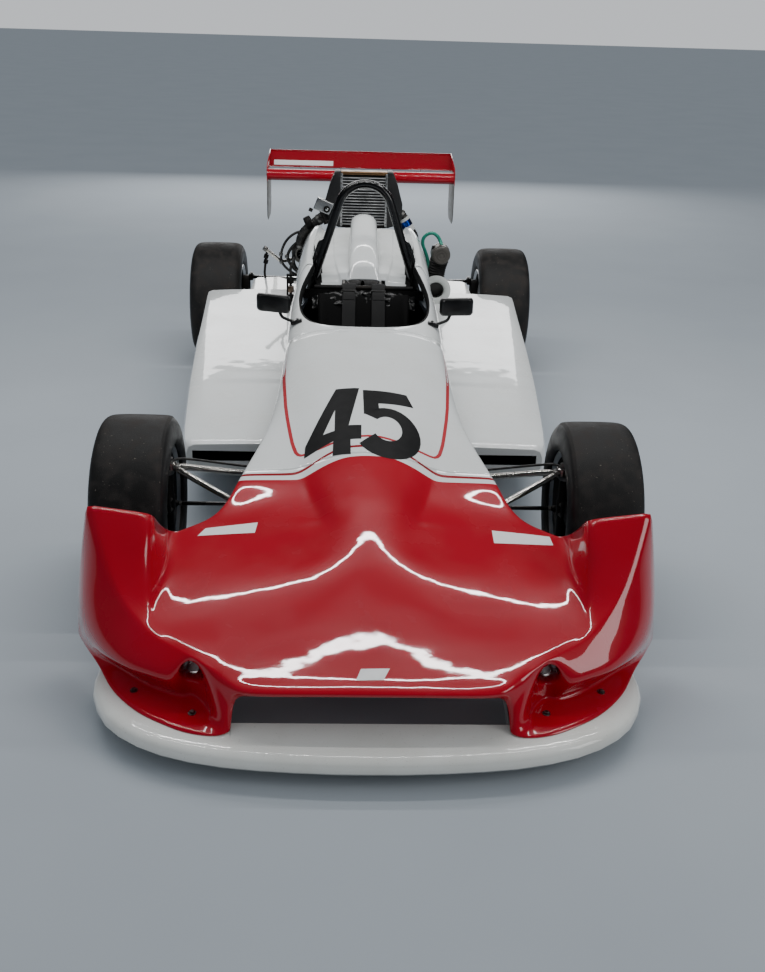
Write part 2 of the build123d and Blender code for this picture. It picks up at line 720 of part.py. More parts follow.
def gearbox():
    """Bell housing, gear case with output sockets, and tail with the tow eye."""
    front = ENGINE_FRONT + ENGINE_LENGTH
    case_front = REAR_AXLE - CASE_REACH

    def outline(half, low, high):
        return [(half, low), (half, high), (-half, high), (-half, low)]
    body = closed([(front, outline(BELL_HALF, ENGINE_BOTTOM, BELL_TOP)),
                   (case_front, outline(CASE_HALF, CASE_BOTTOM, CASE_TOP)),
                   (REAR_AXLE + CASE_REACH - 20, outline(CASE_HALF, CASE_BOTTOM, CASE_TOP)),
                   (GEARBOX_END, outline(CASE_HALF * 0.7, CASE_BOTTOM + 30, CASE_TOP - 20))])
    z = REAR_TYRE_RADIUS
    body += across(-FLANGE_X, REAR_AXLE, z, JOINT_RADIUS + 8, 2 * FLANGE_X)
    for side in (-1, 1):
        body -= across(side * (FLANGE_X - 40), REAR_AXLE, z, SHAFT_RADIUS + RUNNING_FIT,
                       side * 60)
    eye = block((-TOW_THICK / 2, GEARBOX_END, TOW_Z - TOW_RADIUS - 12),
                (TOW_THICK / 2, GEARBOX_END + 2 * TOW_RADIUS + 20, TOW_Z + TOW_RADIUS + 12))
    eye -= rod((-TOW_THICK, GEARBOX_END + TOW_RADIUS + 8, TOW_Z),
               (TOW_THICK, GEARBOX_END + TOW_RADIUS + 8, TOW_Z), TOW_RADIUS)
    return body + eye


def beam():
    """Cross beam over the gearbox that holds the tops of the spring legs."""
    y, z = SPRING_HIGH[1], SPRING_HIGH[2]
    bar = block((-SPRING_HIGH[0] - 24, y - 14, z), (SPRING_HIGH[0] + 24, y + 14, z + 20))
    for side in (-1, 1):
        bar += block((side * CASE_HALF * 0.8 - 8, y - 14, CASE_TOP),
                     (side * CASE_HALF * 0.8 + 8, y + 14, z))
    return bar


def aerofoil(chord, thick, angle, lead_y, lead_z, half):
    """Wing panel: round leading edge, then flat sides to a thin trailing edge."""
    r = thick / 2
    up = ThreePointArc((r * 0.6, -r), (0, 0), (r * 0.6, r))
    edge = [up, Line((r * 0.6, r), (chord, 2)), Line((chord, 2), (chord, -2)),
            Line((chord, -2), (r * 0.6, -r))]
    panel = extrude(make_face(Wire(edge)), 2 * half)
    panel = Plane(origin=(-half, lead_y, lead_z), x_dir=(0, 1, 0), z_dir=(1, 0, 0)) * panel
    return panel.rotate(Axis((0, lead_y, lead_z), (1, 0, 0)), angle)


def wing_panels():
    main = aerofoil(WING_CHORD, WING_THICK, WING_ANGLE, WING_LEAD, WING_Z, WING_HALF)
    flap = aerofoil(FLAP_CHORD, FLAP_THICK, FLAP_ANGLE, FLAP_LEAD, FLAP_Z, WING_HALF)
    return main, flap


def endplate():
    """End plate on the car's left with a rounded lower fin."""
    top, low = FLAP_Z + FLAP_RISE + 2, ENDPLATE_LOW
    front, back = WING_LEAD - 6, FLAP_LEAD + FLAP_REACH + 4
    r = 60
    edge = [Line((front, low + r), (front, WING_Z + 30)),
            Line((front, WING_Z + 30), (back - 20, top)),
            Line((back - 20, top), (back, top)),
            Line((back, top), (back, low + r)),
            ThreePointArc((back, low + r), (back - r * 0.29, low + r * 0.29), (back - r, low)),
            Line((back - r, low), (front + r, low)),
            ThreePointArc((front + r, low), (front + r * 0.29, low + r * 0.29), (front, low + r))]
    plate = extrude(make_face(Wire(edge)), ENDPLATE)
    return Plane(origin=(WING_HALF, 0, 0), x_dir=(0, 1, 0), z_dir=(1, 0, 0)) * plate


def pylon():
    """Two plates from the gearbox tail to the underside of the wing."""
    main, flap = wing_panels()
    edge = Polyline((GEARBOX_END - 150, CASE_TOP - 60), (WING_LEAD + 20, WING_Z),
                    (WING_LEAD + 150, WING_Z), (GEARBOX_END - 10, CASE_TOP - 60), close=True)
    plate = extrude(make_face(edge), PYLON_THICK)
    shape = None
    for x in (-PYLON_HALF, PYLON_HALF - PYLON_THICK):
        side = Plane(origin=(x, 0, 0), x_dir=(0, 1, 0), z_dir=(1, 0, 0)) * plate
        shape = side if shape is None else shape + side
    return shape - main - gearbox()


def rack():
    """Steering rack with a tie rod each side that reaches over the steering arms."""
    shape = across(-RACK_HALF, STEER_ARM, TIE_ROD_Z, RACK_RADIUS * 0.6, 2 * RACK_HALF)
    shape += across(-KINGPIN_X, STEER_ARM, TIE_ROD_Z, TIE_ROD_RADIUS, 2 * KINGPIN_X)
    return shape


def rack_housing():
    """Tube round the rack with two feet on the tub floor."""
    tube = across(-RACK_HALF * 0.6, STEER_ARM, TIE_ROD_Z, RACK_RADIUS, RACK_HALF * 1.2)
    for side in (-1, 1):
        x = side * RACK_HALF * 0.5
        tube += block((x - 10, STEER_ARM - 12, TUB_FLOOR + TUB_WALL),
                      (x + 10, STEER_ARM + 12, TIE_ROD_Z))
    return tube - across(-RACK_HALF, STEER_ARM, TIE_ROD_Z, RACK_RADIUS * 0.6 + RUNNING_FIT,
                         2 * RACK_HALF)


def column_line():
    """Foot and head of the steering column's axis."""
    foot = Vector(0, STEER_ARM, TIE_ROD_Z)
    head = Vector(0, WHEEL_STATION, WHEEL_Z)
    return foot, head


def steering_wheel():
    """Rim, three spokes, boss and column on one inclined axis."""
    foot, head = column_line()
    run = (head - foot).normalized()
    at = Plane(origin=head, x_dir=(1, 0, 0), z_dir=run)
    shape = at * Torus(WHEEL_RADIUS, WHEEL_GRIP)
    for turn in (0, 90, 180):
        spoke = Pos(WHEEL_RADIUS / 2, 0, 0) * Box(WHEEL_RADIUS - WHEEL_GRIP, 22, 5)
        shape += at * (Rot(0, 0, turn) * spoke)
    shape += at * Cylinder(26, 24)
    shape += rod(foot + run * (RACK_RADIUS + 2 * MOVING_GAP), head, COLUMN_RADIUS)
    return shape


def dash():
    """Bulkhead panel across the tub that carries the column's bush."""
    foot, head = column_line()
    panel = block((-DASH_HALF, DASH_STATION, DASH_LOW), (DASH_HALF, DASH_STATION + 8, DASH_TOP))
    run = (head - foot).normalized()
    middle = foot + run * ((DASH_STATION + 4 - STEER_ARM) / run.Y)
    panel += rod(middle - run * 16, middle + run * 16, COLUMN_RADIUS + 9)
    return panel - rod(foot, head, COLUMN_RADIUS + RUNNING_FIT)


def seat():
    """Bucket seat laid back in the tub."""
    floor = TUB_FLOOR + TUB_WALL
    y0, y1, y2 = SEAT_FRONT, SEAT_FRONT + SEAT_CUSHION, COCKPIT_REAR - 10
    side = Polyline((y0, floor), (y1, floor), (y2, SEAT_TOP), (y2 - 26, SEAT_TOP + 6),
                    (y1 + 60, floor + 190), (y0, floor + 110), close=True)
    shape = extrude(make_face(side), 2 * SEAT_HALF)
    cut = Polyline((y0 - 1, floor + 14), (y1 - 6, floor + 14), (y2 - 22, SEAT_TOP + 1),
                   (y2 - 40, SEAT_TOP + 60), (y0 - 1, floor + 300), close=True)
    hollow = extrude(make_face(cut), 2 * SEAT_HALF - 2 * SEAT_WALL)
    plane = Plane(origin=(-SEAT_HALF, 0, 0), x_dir=(0, 1, 0), z_dir=(1, 0, 0))
    inner = Plane(origin=(SEAT_WALL - SEAT_HALF, 0, 0), x_dir=(0, 1, 0), z_dir=(1, 0, 0))
    return plane * shape - inner * hollow


def belts():
    """Two shoulder belts and a lap belt lying on the seat's back."""
    floor = TUB_FLOOR + TUB_WALL
    y1, y2 = SEAT_FRONT + SEAT_CUSHION, COCKPIT_REAR - 10
    low, high = Vector(0, y1 - 6, floor + 14), Vector(0, y2 - 22, SEAT_TOP + 1)
    run = (high - low).normalized()
    up = Vector(0, -run.Z, run.Y)
    shape = None
    for side in (-1, 1):
        at = low + run * 90 + up * (SEAT_GAP + BELT_THICK / 2) + Vector(side * BELT_HALF, 0, 0)
        long = (high - low).length - 100
        strap = Plane(origin=at, x_dir=(1, 0, 0), z_dir=run) * Box(
            BELT_WIDTH, BELT_THICK, long, align=(Align.CENTER, Align.CENTER, Align.MIN))
        shape = strap if shape is None else shape + strap
    return shape


def mirror_arm(body):
    """Mirror on the car's left: housing on a bent stalk from the scuttle's side."""
    housing = block((MIRROR_X - MIRROR_WIDE / 2, MIRROR_STATION - MIRROR_DEEP / 2,
                     MIRROR_Z - MIRROR_HIGH / 2),
                    (MIRROR_X + MIRROR_WIDE / 2, MIRROR_STATION + MIRROR_DEEP / 2,
                     MIRROR_Z + MIRROR_HIGH / 2))
    housing = fillet(housing.edges().filter_by(Axis.Y), 14)
    elbow = (MIRROR_X - 16, MIRROR_STATION, MIRROR_Z - MIRROR_HIGH / 2 - 34)
    stalk = rod((MIRROR_X - 16, MIRROR_STATION, MIRROR_Z), elbow, 6)
    stalk += Pos(*elbow) * Sphere(6)
    stalk += rod(elbow, (MIRROR_FOOT_X, MIRROR_STATION - 30, MIRROR_FOOT_Z), 6)
    return housing + stalk - body


def intercooler():
    """Louvred cooler standing behind the cover, with a shroud at each side."""
    y0, z0, z1 = COOLER_STATION, COOLER_LOW, COOLER_TOP
    core = block((-COOLER_HALF, y0 + CORE_FRONT, z0), (COOLER_HALF, y0 + CORE_BACK, z1))
    pitch = (z1 - z0 - 2 * COOLER_RIM) / SLATS
    for i in range(SLATS):
        z = z0 + COOLER_RIM + i * pitch
        core += block((-COOLER_HALF, y0, z), (COOLER_HALF, y0 + SLAT_DEEP, z + SLAT_THICK))
    for side in (-1, 1):
        flare = Polyline((side * COOLER_HALF, z0), (side * COOLER_HALF, z1),
                         (side * SHROUD_TOP_HALF, z1), (side * SHROUD_HALF, SHROUD_KNEE),
                         (side * SHROUD_HALF, z0 + 40), (side * COOLER_HALF, z0), close=True)
        face = Plane(origin=(0, y0 + SHROUD_DEEP, 0), x_dir=(1, 0, 0),
                     z_dir=(0, -1, 0)) * make_face(flare)
        core += extrude(face, SHROUD_DEEP, dir=(0, -1, 0))
    for side in (-1, 1):
        x = side * COOLER_HALF * 0.7
        core += block((x - COOLER_LEG, y0 + 30, HEAD_TOP), (x + COOLER_LEG, y0 + 60, z0))
    return core


def pipe(points, radius):
    """Bar of round section through points, with a ball at each bend."""
    shape = rod(points[0], points[1], radius)
    for a, b in zip(points[1:], points[2:]):
        shape += Pos(*a) * Sphere(radius)
        shape += rod(a, b, radius)
    return shape


def turbocharger():
    """Compressor, exhaust pipe from the engine, and an open wastegate pipe."""
    x, y, z = TURBO
    middle, back = y + TURBO_WIDE, y + 2 * TURBO_WIDE
    shape = rod((x, y, z), (x, middle, z), TURBO_RADIUS)
    shape += rod((x, middle, z), (x, back, z), TURBINE_RADIUS)
    shape -= rod((x, y, z), (x, (y + middle) / 2, z), TURBO_MOUTH)
    shape += pipe(EXHAUST_POINTS, EXHAUST_RADIUS)
    shape += pipe(WASTEGATE_POINTS, WASTEGATE_RADIUS)
    return shape - engine()


def boost_pipe(side, end):
    """Pipe from the cooler's end down to the turbocharger or the engine."""
    return pipe([(side * x, y, z) for x, y, z in BOOST_POINTS] + [end], BOOST_RADIUS)


def air_intake():
    """Round inlet plate, bent hose and filter can on the car's left, on a bracket."""
    x, y, z = INLET
    back = y + INLET_THICK
    fx, fy, fz = FILTER
    shape = rod(INLET, (x, back, z), INLET_RADIUS)
    shape += pipe([(x, back, z), (x, HOSE_STATION, z), (fx, HOSE_STATION, fz)], HOSE_RADIUS)
    shape -= rod(INLET, (x, HOSE_STATION, z), INLET_HOLE)
    shape += rod(FILTER, (fx, fy + FILTER_LENGTH, fz), FILTER_RADIUS)
    shape += rod(BRACKET_FOOT, (fx, HOSE_STATION, fz), BRACKET_RADIUS)
    return shape - engine()


def rain_light():
    """Lamp on the rear face of the gearbox above the tow eye."""
    wide, high, deep = RAIN_LIGHT
    return block((-wide / 2, GEARBOX_END, RAIN_LIGHT_Z),
                 (wide / 2, GEARBOX_END + deep, RAIN_LIGHT_Z + high))


def place_pairs(top_beam, surround):
    for side, name in ((1, "left"), (-1, "right")):
        def put(piece, shape):
            keep(f"{piece}_{name}", shape if side > 0 else mirrored(shape))
        put("sidepod", sidepod())
        front = Pos(FRONT_TRACK / 2, 0, FRONT_TYRE_RADIUS)
        rear = Pos(REAR_TRACK / 2, REAR_AXLE, REAR_TYRE_RADIUS)
        put("front_tyre", front * tyre(FRONT_TYRE_RADIUS, FRONT_TYRE_WIDTH))
        put("rear_tyre", rear * tyre(REAR_TYRE_RADIUS, REAR_TYRE_WIDTH))
        put("front_rim", front * rim(FRONT_TYRE_WIDTH, SPINDLE_RADIUS + RUNNING_FIT,
                                     front_wheel_hub_in()))
        put("rear_rim", rear * rim(REAR_TYRE_WIDTH, 0, rear_hub_in()))
        put("front_knuckle", knuckle())
        put("front_arms", front_arms())
        put("rear_upright", rear_upright())
        put("rear_shaft", rear_shaft())
        arms = rear_arms()
        put("rear_arms", arms)
        put("spring_leg", spring_leg(top_beam, arms))
        put("mirror", mirror_arm(surround))


def main():
    keep("nose", nose())
    keep("splitter", splitter())
    keep("tub", tub())
    keep("scuttle", arch([(row[0], pairs(row, 1)) for row in SCUTTLE], WALL))
    surround = arch([(row[0], pairs(row, 1)) for row in SURROUND], WALL)
    keep("cockpit_surround", surround - cockpit_hole(CUT_SIDE, CUT_TOP) - cockpit_mouth())
    keep("engine_cover", engine_cover())
    keep("undertray", undertray())
    keep("roll_hoop", roll_hoop())
    keep("rack", rack())
    keep("rack_housing", rack_housing())
    keep("steering_wheel", steering_wheel())
    keep("dash", dash())
    keep("seat", seat())
    keep("belts", belts())
    keep("engine", engine())
    keep("gearbox", gearbox())
    top_beam = beam()
    keep("spring_beam", top_beam)
    cooler = intercooler()
    keep("intercooler", cooler)
    turbo = turbocharger()
    keep("turbocharger", turbo)
    x, y, z = TURBO
    keep("boost_pipe_right", boost_pipe(-1, (x, y + TURBO_WIDE / 2, z)) - cooler - turbo)
    keep("boost_pipe_left", boost_pipe(1, BOOST_END) - cooler - engine())
    keep("air_intake", air_intake())
    keep("rain_light", rain_light())
    main_plane, flap = wing_panels()
    keep("rear_wing", main_plane + flap)
    keep("endplates", endplate() + mirrored(endplate()))
    keep("wing_pylon", pylon())
    place_pairs(top_beam, surround)
    os.makedirs("parts", exist_ok=True)
    for name, shape in PARTS.items():
        export_step(shape, f"parts/{name}.step")


main()
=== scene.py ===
import functools
import json
import math

import bmesh
import bpy
from mathutils import Matrix, Vector, noise
from mathutils.bvhtree import BVHTree

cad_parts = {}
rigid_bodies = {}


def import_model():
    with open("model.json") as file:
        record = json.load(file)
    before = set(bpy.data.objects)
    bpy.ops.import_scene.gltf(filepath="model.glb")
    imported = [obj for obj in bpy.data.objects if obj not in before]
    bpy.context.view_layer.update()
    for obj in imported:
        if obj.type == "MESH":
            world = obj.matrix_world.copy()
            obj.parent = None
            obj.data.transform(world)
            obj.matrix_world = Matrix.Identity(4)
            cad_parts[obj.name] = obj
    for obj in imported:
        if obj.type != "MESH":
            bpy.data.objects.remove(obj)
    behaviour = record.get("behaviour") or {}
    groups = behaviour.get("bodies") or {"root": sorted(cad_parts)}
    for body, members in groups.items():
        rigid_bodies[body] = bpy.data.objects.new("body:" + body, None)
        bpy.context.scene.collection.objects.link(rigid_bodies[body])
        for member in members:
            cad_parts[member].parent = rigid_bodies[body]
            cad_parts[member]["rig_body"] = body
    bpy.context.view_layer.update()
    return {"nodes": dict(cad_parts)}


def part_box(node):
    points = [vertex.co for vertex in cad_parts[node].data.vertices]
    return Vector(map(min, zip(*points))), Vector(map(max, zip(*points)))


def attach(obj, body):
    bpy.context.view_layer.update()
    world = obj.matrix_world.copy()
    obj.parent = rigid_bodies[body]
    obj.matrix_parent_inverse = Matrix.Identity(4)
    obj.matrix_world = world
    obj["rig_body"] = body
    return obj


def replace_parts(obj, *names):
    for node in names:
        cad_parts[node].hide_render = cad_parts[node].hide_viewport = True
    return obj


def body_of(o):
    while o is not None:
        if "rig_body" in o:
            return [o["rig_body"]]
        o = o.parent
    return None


bl_info = {"name": "Open Wheel Racing Car", "version": (1, 0, 0), "blender": (4, 5, 0),
    "location": "View3D > Sidebar > Racing Car",
    "description": "Dresses the packed racing car: painted panels, tyres, suspension and studio",
    "category": "Add Mesh"}

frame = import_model()

# Lengths in the tables are millimetres. Stations run rearward from the front axle.
MM = 0.001
SIDES = (("left", 1), ("right", -1))
BODY = "chassis"


def pts(text):
    """Points from text: numbers apart by spaces, points by commas."""
    return tuple(tuple(float(n) if "." in n else int(n) for n in cell.split()) for cell in text.split(","))


def point_rows(text):
    """Rows of points from text, rows apart by semicolons."""
    return tuple(pts(row) for row in text.split(";"))


def middle_of(node):
    low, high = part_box(node)
    return (Vector(low) + Vector(high)) / 2


AXLE_Y = middle_of("front_tyre_left").y


def at(x, station, z):
    """Point of the car in metres, from millimetres and a station."""
    return Vector((x * MM, AXLE_Y + station * MM, z * MM))


# Stations of the seams between the nose, the scuttle and the cockpit's surround
NOSE_SEAM = -50
SCUTTLE_SEAM = 840


# Meshes

def linked(name, data):
    """New object in the scene."""
    thing = bpy.data.objects.new(name, data)
    bpy.context.scene.collection.objects.link(thing)
    return thing


def new_object(name, mesh, material, body=BODY):
    """Links a smooth mesh as a piece of one material that rides on a body."""
    piece = linked(name, mesh)
    mesh.materials.append(M[material])
    mesh.shade_smooth()
    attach(piece, body)
    return piece


def finished(net, name):
    """Mesh of a bmesh, which is freed."""
    mesh = bpy.data.meshes.new(name)
    net.to_mesh(mesh)
    net.free()
    return mesh


def outward(mesh, weld=0.0):
    """Turns faces outward, once points nearer than a distance in metres are merged."""
    net = bmesh.new()
    net.from_mesh(mesh)
    if weld:
        bmesh.ops.remove_doubles(net, verts=net.verts, dist=weld)
    bmesh.ops.recalc_face_normals(net, faces=net.faces)
    net.to_mesh(mesh)
    net.free()


def heading(line, i):
    """Direction of a line of points at one of them."""
    return (line[min(i + 1, len(line) - 1)] - line[max(i - 1, 0)]).normalized()


def circle(count, first=0.0):
    """Cosine and sine of even steps round a circle; first is the first one's share of a step."""
    turns = [math.tau * (k + first) / count for k in range(count)]
    return [(math.cos(turn), math.sin(turn)) for turn in turns]


def mesh_of(name, points, faces):
    mesh = bpy.data.meshes.new(name)
    mesh.from_pydata([tuple(p) for p in points], [], faces)
    mesh.validate()
    mesh.update()
    return mesh


def grid_faces(rows, columns, wrap=False):
    """Quads of a grid of points kept row by row."""
    faces = []
    for i in range(rows - 1):
        for j in range(columns if wrap else columns - 1):
            k = (j + 1) % columns
            faces.append((i * columns + j, i * columns + k, (i + 1) * columns + k, (i + 1) * columns + j))
    return faces


def caps(rows, columns):
    """End faces of a closed grid."""
    last = (rows - 1) * columns
    return [tuple(reversed(range(columns))), tuple(range(last, last + columns))]


def applied(piece):
    """Turns a piece's modifiers into its mesh and returns the mesh."""
    graph = bpy.context.evaluated_depsgraph_get()
    mesh = bpy.data.meshes.new_from_object(piece.evaluated_get(graph))
    old = piece.data
    piece.modifiers.clear()
    piece.data = mesh
    bpy.data.meshes.remove(old)
    return mesh


def both_sides(row):
    """A half row that starts on the centre line, completed by its mirror image."""
    return [Vector((-p.x, p.y, p.z)) for p in reversed(row[1:])] + list(row)


def subdivided(piece, levels, kind="CATMULL_CLARK"):
    rounding = piece.modifiers.new("round", "SUBSURF")
    rounding.subdivision_type = kind
    rounding.levels = rounding.render_levels = levels
    return applied(piece)


def thicken(piece, wall, even=False):
    """Gives a panel a wall in mm on its inner side."""
    solid = piece.modifiers.new("wall", "SOLIDIFY")
    solid.thickness = wall * MM
    solid.offset = -1
    solid.use_even_offset = even
    applied(piece)
    piece.data.shade_smooth()


def skin(name, rows, material, thick, levels, creases=(), notch=0):
    """Smooth panel through half rows of points and their mirror image, thickened inward.

    creases lists (columns or rows, index, sharpness); columns count from the centre line.
    notch is how many columns each side of the centre line the first row of cells leaves open.
    """
    full = [both_sides(row) for row in rows]
    columns = len(full[0])
    middle = columns // 2
    faces = grid_faces(len(full), columns)
    if notch:
        del faces[middle - notch:middle + notch]
    mesh = mesh_of(name, [p for row in full for p in row], faces)
    piece = new_object(name, mesh, material)
    layer = mesh.attributes.new("crease_edge", "FLOAT", "EDGE")
    for edge in mesh.edges:
        (i0, j0), (i1, j1) = (divmod(v, columns) for v in edge.vertices)
        for kind, index, sharpness in creases:
            if (kind == "column" and j0 == j1 and abs(j0 - middle) == index or kind == "row"
                and i0 == i1 == index % len(full)):
                layer.data[edge.index].value = sharpness
    subdivided(piece, levels)
    thicken(piece, thick, True)
    return piece


# Materials

def linear(hex_colour):
    """Linear RGBA of an sRGB colour written as #rrggbb."""
    parts = [int(hex_colour[i:i + 2], 16) / 255 for i in (1, 3, 5)]
    return tuple(c / 12.92 if c <= 0.04045 else ((c + 0.055) / 1.055) ** 2.4 for c in parts) + (1.0,)


def add_node(tree, kind, inputs=None, **settings):
    """Adds a node, sets its properties and feeds its inputs with values or other outputs."""
    node = tree.nodes.new(kind)
    for name, value in settings.items():
        setattr(node, name, value)
    for key, value in (inputs or {}).items():
        if isinstance(value, bpy.types.NodeSocket):
            tree.links.new(value, node.inputs[key])
        else:
            node.inputs[key].default_value = value
    return node


def mixed(tree, amount, first, second):
    """Colour mix; first and second are hex colours or outputs."""
    ends = [linear(c) if isinstance(c, str) else c for c in (first, second)]
    node = add_node(tree, "ShaderNodeMix", {0: amount}, data_type="RGBA")
    for index, end in zip((6, 7), ends):
        if isinstance(end, tuple):
            node.inputs[index].default_value = end
        else:
            tree.links.new(end, node.inputs[index])
    return node.outputs[2]


class Look:
    """A material in the making: one Principled shader fed by procedural nodes."""

    def __init__(self, name, colour, **values):
        self.material = bpy.data.materials.new(name)
        self.material.use_nodes = True
        self.tree = self.material.node_tree
        self.shader = self.tree.nodes["Principled BSDF"]
        self.feed(Base_Color=linear(colour), **values)

    @functools.cached_property
    def where(self):
        """The piece's own coordinates, which are metres in the row frame."""
        return self.node("ShaderNodeTexCoord").outputs["Object"]

    def node(self, kind, inputs=None, **settings):
        return add_node(self.tree, kind, inputs, **settings)

    def feed(self, **values):
        """Sets or links the shader's inputs; underscores stand for spaces."""
        for key, value in values.items():
            socket = self.shader.inputs[key.replace("_", " ")]
            if isinstance(value, bpy.types.NodeSocket):
                self.tree.links.new(value, socket)
            else:
                socket.default_value = value
        return self

    def math(self, operation, first, second=0.0):
        return self.node("ShaderNodeMath", {0: first, 1: second}, operation=operation).outputs[0]

    def scaled(self, value, factor, plus=0.0):
        """Value times a factor, with a number added if it isn't zero."""
        value = self.math("MULTIPLY", value, factor)
        return self.math("ADD", value, plus) if plus else value

    def ranged(self, value, low=0.0, high=1.0, to_low=0.0, to_high=1.0, **settings):
        """Value moved from one span to another."""
        ends = {"From Min": low, "From Max": high, "To Min": to_low, "To Max": to_high}
        return self.node("ShaderNodeMapRange", {"Value": value, **ends}, **settings).outputs["Result"]

    def noise(self, size_mm, low, high, detail=4.0):
        """Noise of patches of a real size, spread between two values from 0 to 1."""
        cloud = self.node("ShaderNodeTexNoise", {"Vector": self.where, "Scale": 1000 / size_mm,
            "Detail": detail})
        return self.ranged(cloud.outputs["Fac"], low, high)

    def ribs(self, pitch_mm, distortion, direction):
        """Waves a pitch apart."""
        return self.node("ShaderNodeTexWave", {"Vector": self.where, "Distortion": distortion,
            "Scale": 1000 / pitch_mm / 6.2832}, bands_direction=direction).outputs["Fac"]

    def mix(self, first, second, amount, share=None):
        """Colour between two hex colours or outputs by an amount or a share of it."""
        return mixed(self.tree, self.scaled(amount, share) if share else amount, first, second)

    def bump(self, height, depth_mm, strength):
        node = self.node("ShaderNodeBump", {"Height": height, "Distance": depth_mm * MM,
            "Strength": strength})
        self.feed(Normal=node.outputs["Normal"])
        return node.outputs["Normal"]


def paint(name, colour, worn, rough=0.2):
    """Sprayed gloss paint over glass fibre: slight orange peel, faint weave print and dust."""
    look = Look(name, colour, Coat_Weight=1.0, Coat_Roughness=0.03, Specular_IOR_Level=0.12)
    dust = look.noise(160, 0.42, 0.75)
    look.tint = look.mix(look.mix(colour, worn, dust, 0.30), "#6b6157", look.noise(5, 0.66, 0.74, 2.0),
        0.22)
    height = look.math("ADD", look.scaled(look.noise(9, 0.2, 0.8, 1.0), 0.035),
        look.noise(70, 0.2, 0.8, 1.0))
    return look.feed(Base_Color=look.tint, Coat_Normal=look.bump(height, 0.5, 0.5),
        Roughness=look.ranged(dust, to_low=rough, to_high=rough + 0.14))


def nose_paint(name):
    """The nose's colours: red field in front, and a dark red line across the white.

    Both edges are straight over the pans and bow rearward over the hump.
    """
    look = paint(name, WHITE, WHITE_WORN)
    parts = look.node("ShaderNodeSeparateXYZ", {"Vector": look.where})
    side = look.math("ABSOLUTE", parts.outputs["X"])

    def past(bow):
        inner, outer, middle, edge = bow
        line = look.ranged(side, inner * MM, outer * MM, at(0, middle, 0).y, at(0, edge, 0).y,
            interpolation_type="SMOOTHSTEP")
        return look.math("SUBTRACT", parts.outputs["Y"], line)

    field = look.mix(RED, "#7d1319", look.noise(140, 0.45, 0.8), 0.12)
    on_line = look.math("LESS_THAN", look.math("ABSOLUTE", past(LINE_BOW)), LINE_HALF * MM)
    colours = look.mix(look.tint, DARK_RED, on_line)
    return look.feed(Base_Color=look.mix(colours, field, look.math("LESS_THAN", past(FIELD_BOW), 0.0)))


def rubber(name, colour, scuffed, grit_share, rough_low, rough_high, grain_mm):
    """Worn slick: fine grain, brown scuffs, picked up grit and scrub lines round the tread."""
    look = Look(name, colour, Specular_IOR_Level=0.35)
    scuff = look.noise(45, 0.45, 0.72)
    grit = look.noise(7, 0.71, 0.745, 2.0)
    tint = look.mix(look.mix(colour, scuffed, scuff), "#6d665c", grit, grit_share)
    look.bump(look.math("ADD", look.noise(2.2, 0.25, 0.8, 3.0), look.scaled(grit, 2.0)), grain_mm, 0.8)
    return look.feed(Base_Color=tint, Roughness=look.ranged(scuff, to_low=rough_low, to_high=rough_high))


def metal(name, colour, grime, rough, brushed_mm=3.0, wear=0.35):
    """Bare or plated metal with grime in patches and fine scratches."""
    look = Look(name, colour, Metallic=1.0)
    patch = look.noise(28, 0.4, 0.75)
    line = look.noise(brushed_mm, 0.3, 0.7, 2.0)
    spread = look.math("ADD", look.scaled(patch, 0.2), look.scaled(line, 0.08))
    look.bump(line, 0.15, 0.5)
    return look.feed(Base_Color=look.mix(colour, grime, patch, wear),
        Roughness=look.math("ADD", spread, rough))


def cast(name, colour, grime):
    """Sand cast alloy: pebbled skin with oily grime."""
    look = Look(name, colour, Metallic=0.75, Roughness=0.55)
    look.bump(look.noise(4, 0.3, 0.7, 3.0), 0.8, 0.6)
    return look.feed(Base_Color=look.mix(colour, grime, look.noise(60, 0.35, 0.7), 0.7))


def lacquer(name, colour, chip, rough=0.2):
    """Stoved black paint on steel tube, rubbed brighter in small spots."""
    look = Look(name, colour, Coat_Weight=0.5, Coat_Roughness=0.12)
    return look.feed(Base_Color=look.mix(colour, chip, look.noise(12, 0.68, 0.74, 3.0), 0.7),
        Roughness=look.scaled(look.noise(80, 0.4, 0.7), 0.2, rough))


def plastic(name, colour, pale, grain_mm=1.4, rough=0.38, shine=0.5):
    """Moulded plastic or satin composite with a fine grain and finger haze."""
    look = Look(name, colour, Specular_IOR_Level=shine)
    haze = look.noise(55, 0.4, 0.75)
    look.bump(look.noise(grain_mm, 0.3, 0.7, 1.0), 0.12, 0.6)
    return look.feed(Base_Color=look.mix(colour, pale, haze, 0.5), Roughness=look.scaled(haze, 0.18, rough))


def film(name, colour):
    """Thin black polythene: smooth, shiny and finely creased."""
    look = Look(name, colour, Roughness=0.3, Specular_IOR_Level=0.4, Coat_Weight=0.12, Coat_Roughness=0.1)
    crease = look.node("ShaderNodeTexVoronoi", {"Vector": look.where, "Scale": 48.0},
        feature="DISTANCE_TO_EDGE")
    look.bump(look.math("ADD", crease.outputs["Distance"], look.scaled(look.noise(9, 0.3, 0.7), 0.2)), 2.5,
        0.6)
    return look


def webbing(name, colour, pale):
    """Woven harness webbing: ribs 1.6 mm apart across the strap, dusty on top."""
    look = Look(name, colour, Roughness=0.75, Sheen_Weight=0.4, Sheen_Roughness=0.4)
    look.bump(look.ribs(1.6, 0.3, "X"), 0.3, 0.8)
    return look.feed(Base_Color=look.mix(colour, pale, look.noise(30, 0.4, 0.8), 0.5))


def hose_rubber(name, colour, pitch_mm):
    """Reinforced hose with a moulded rib along its length."""
    look = Look(name, colour, Roughness=0.5)
    look.bump(look.ribs(pitch_mm, 0.0, "Z"), 0.8, 0.5)
    return look.feed(Base_Color=look.mix(colour, "#3a3733", look.noise(20, 0.4, 0.8)))


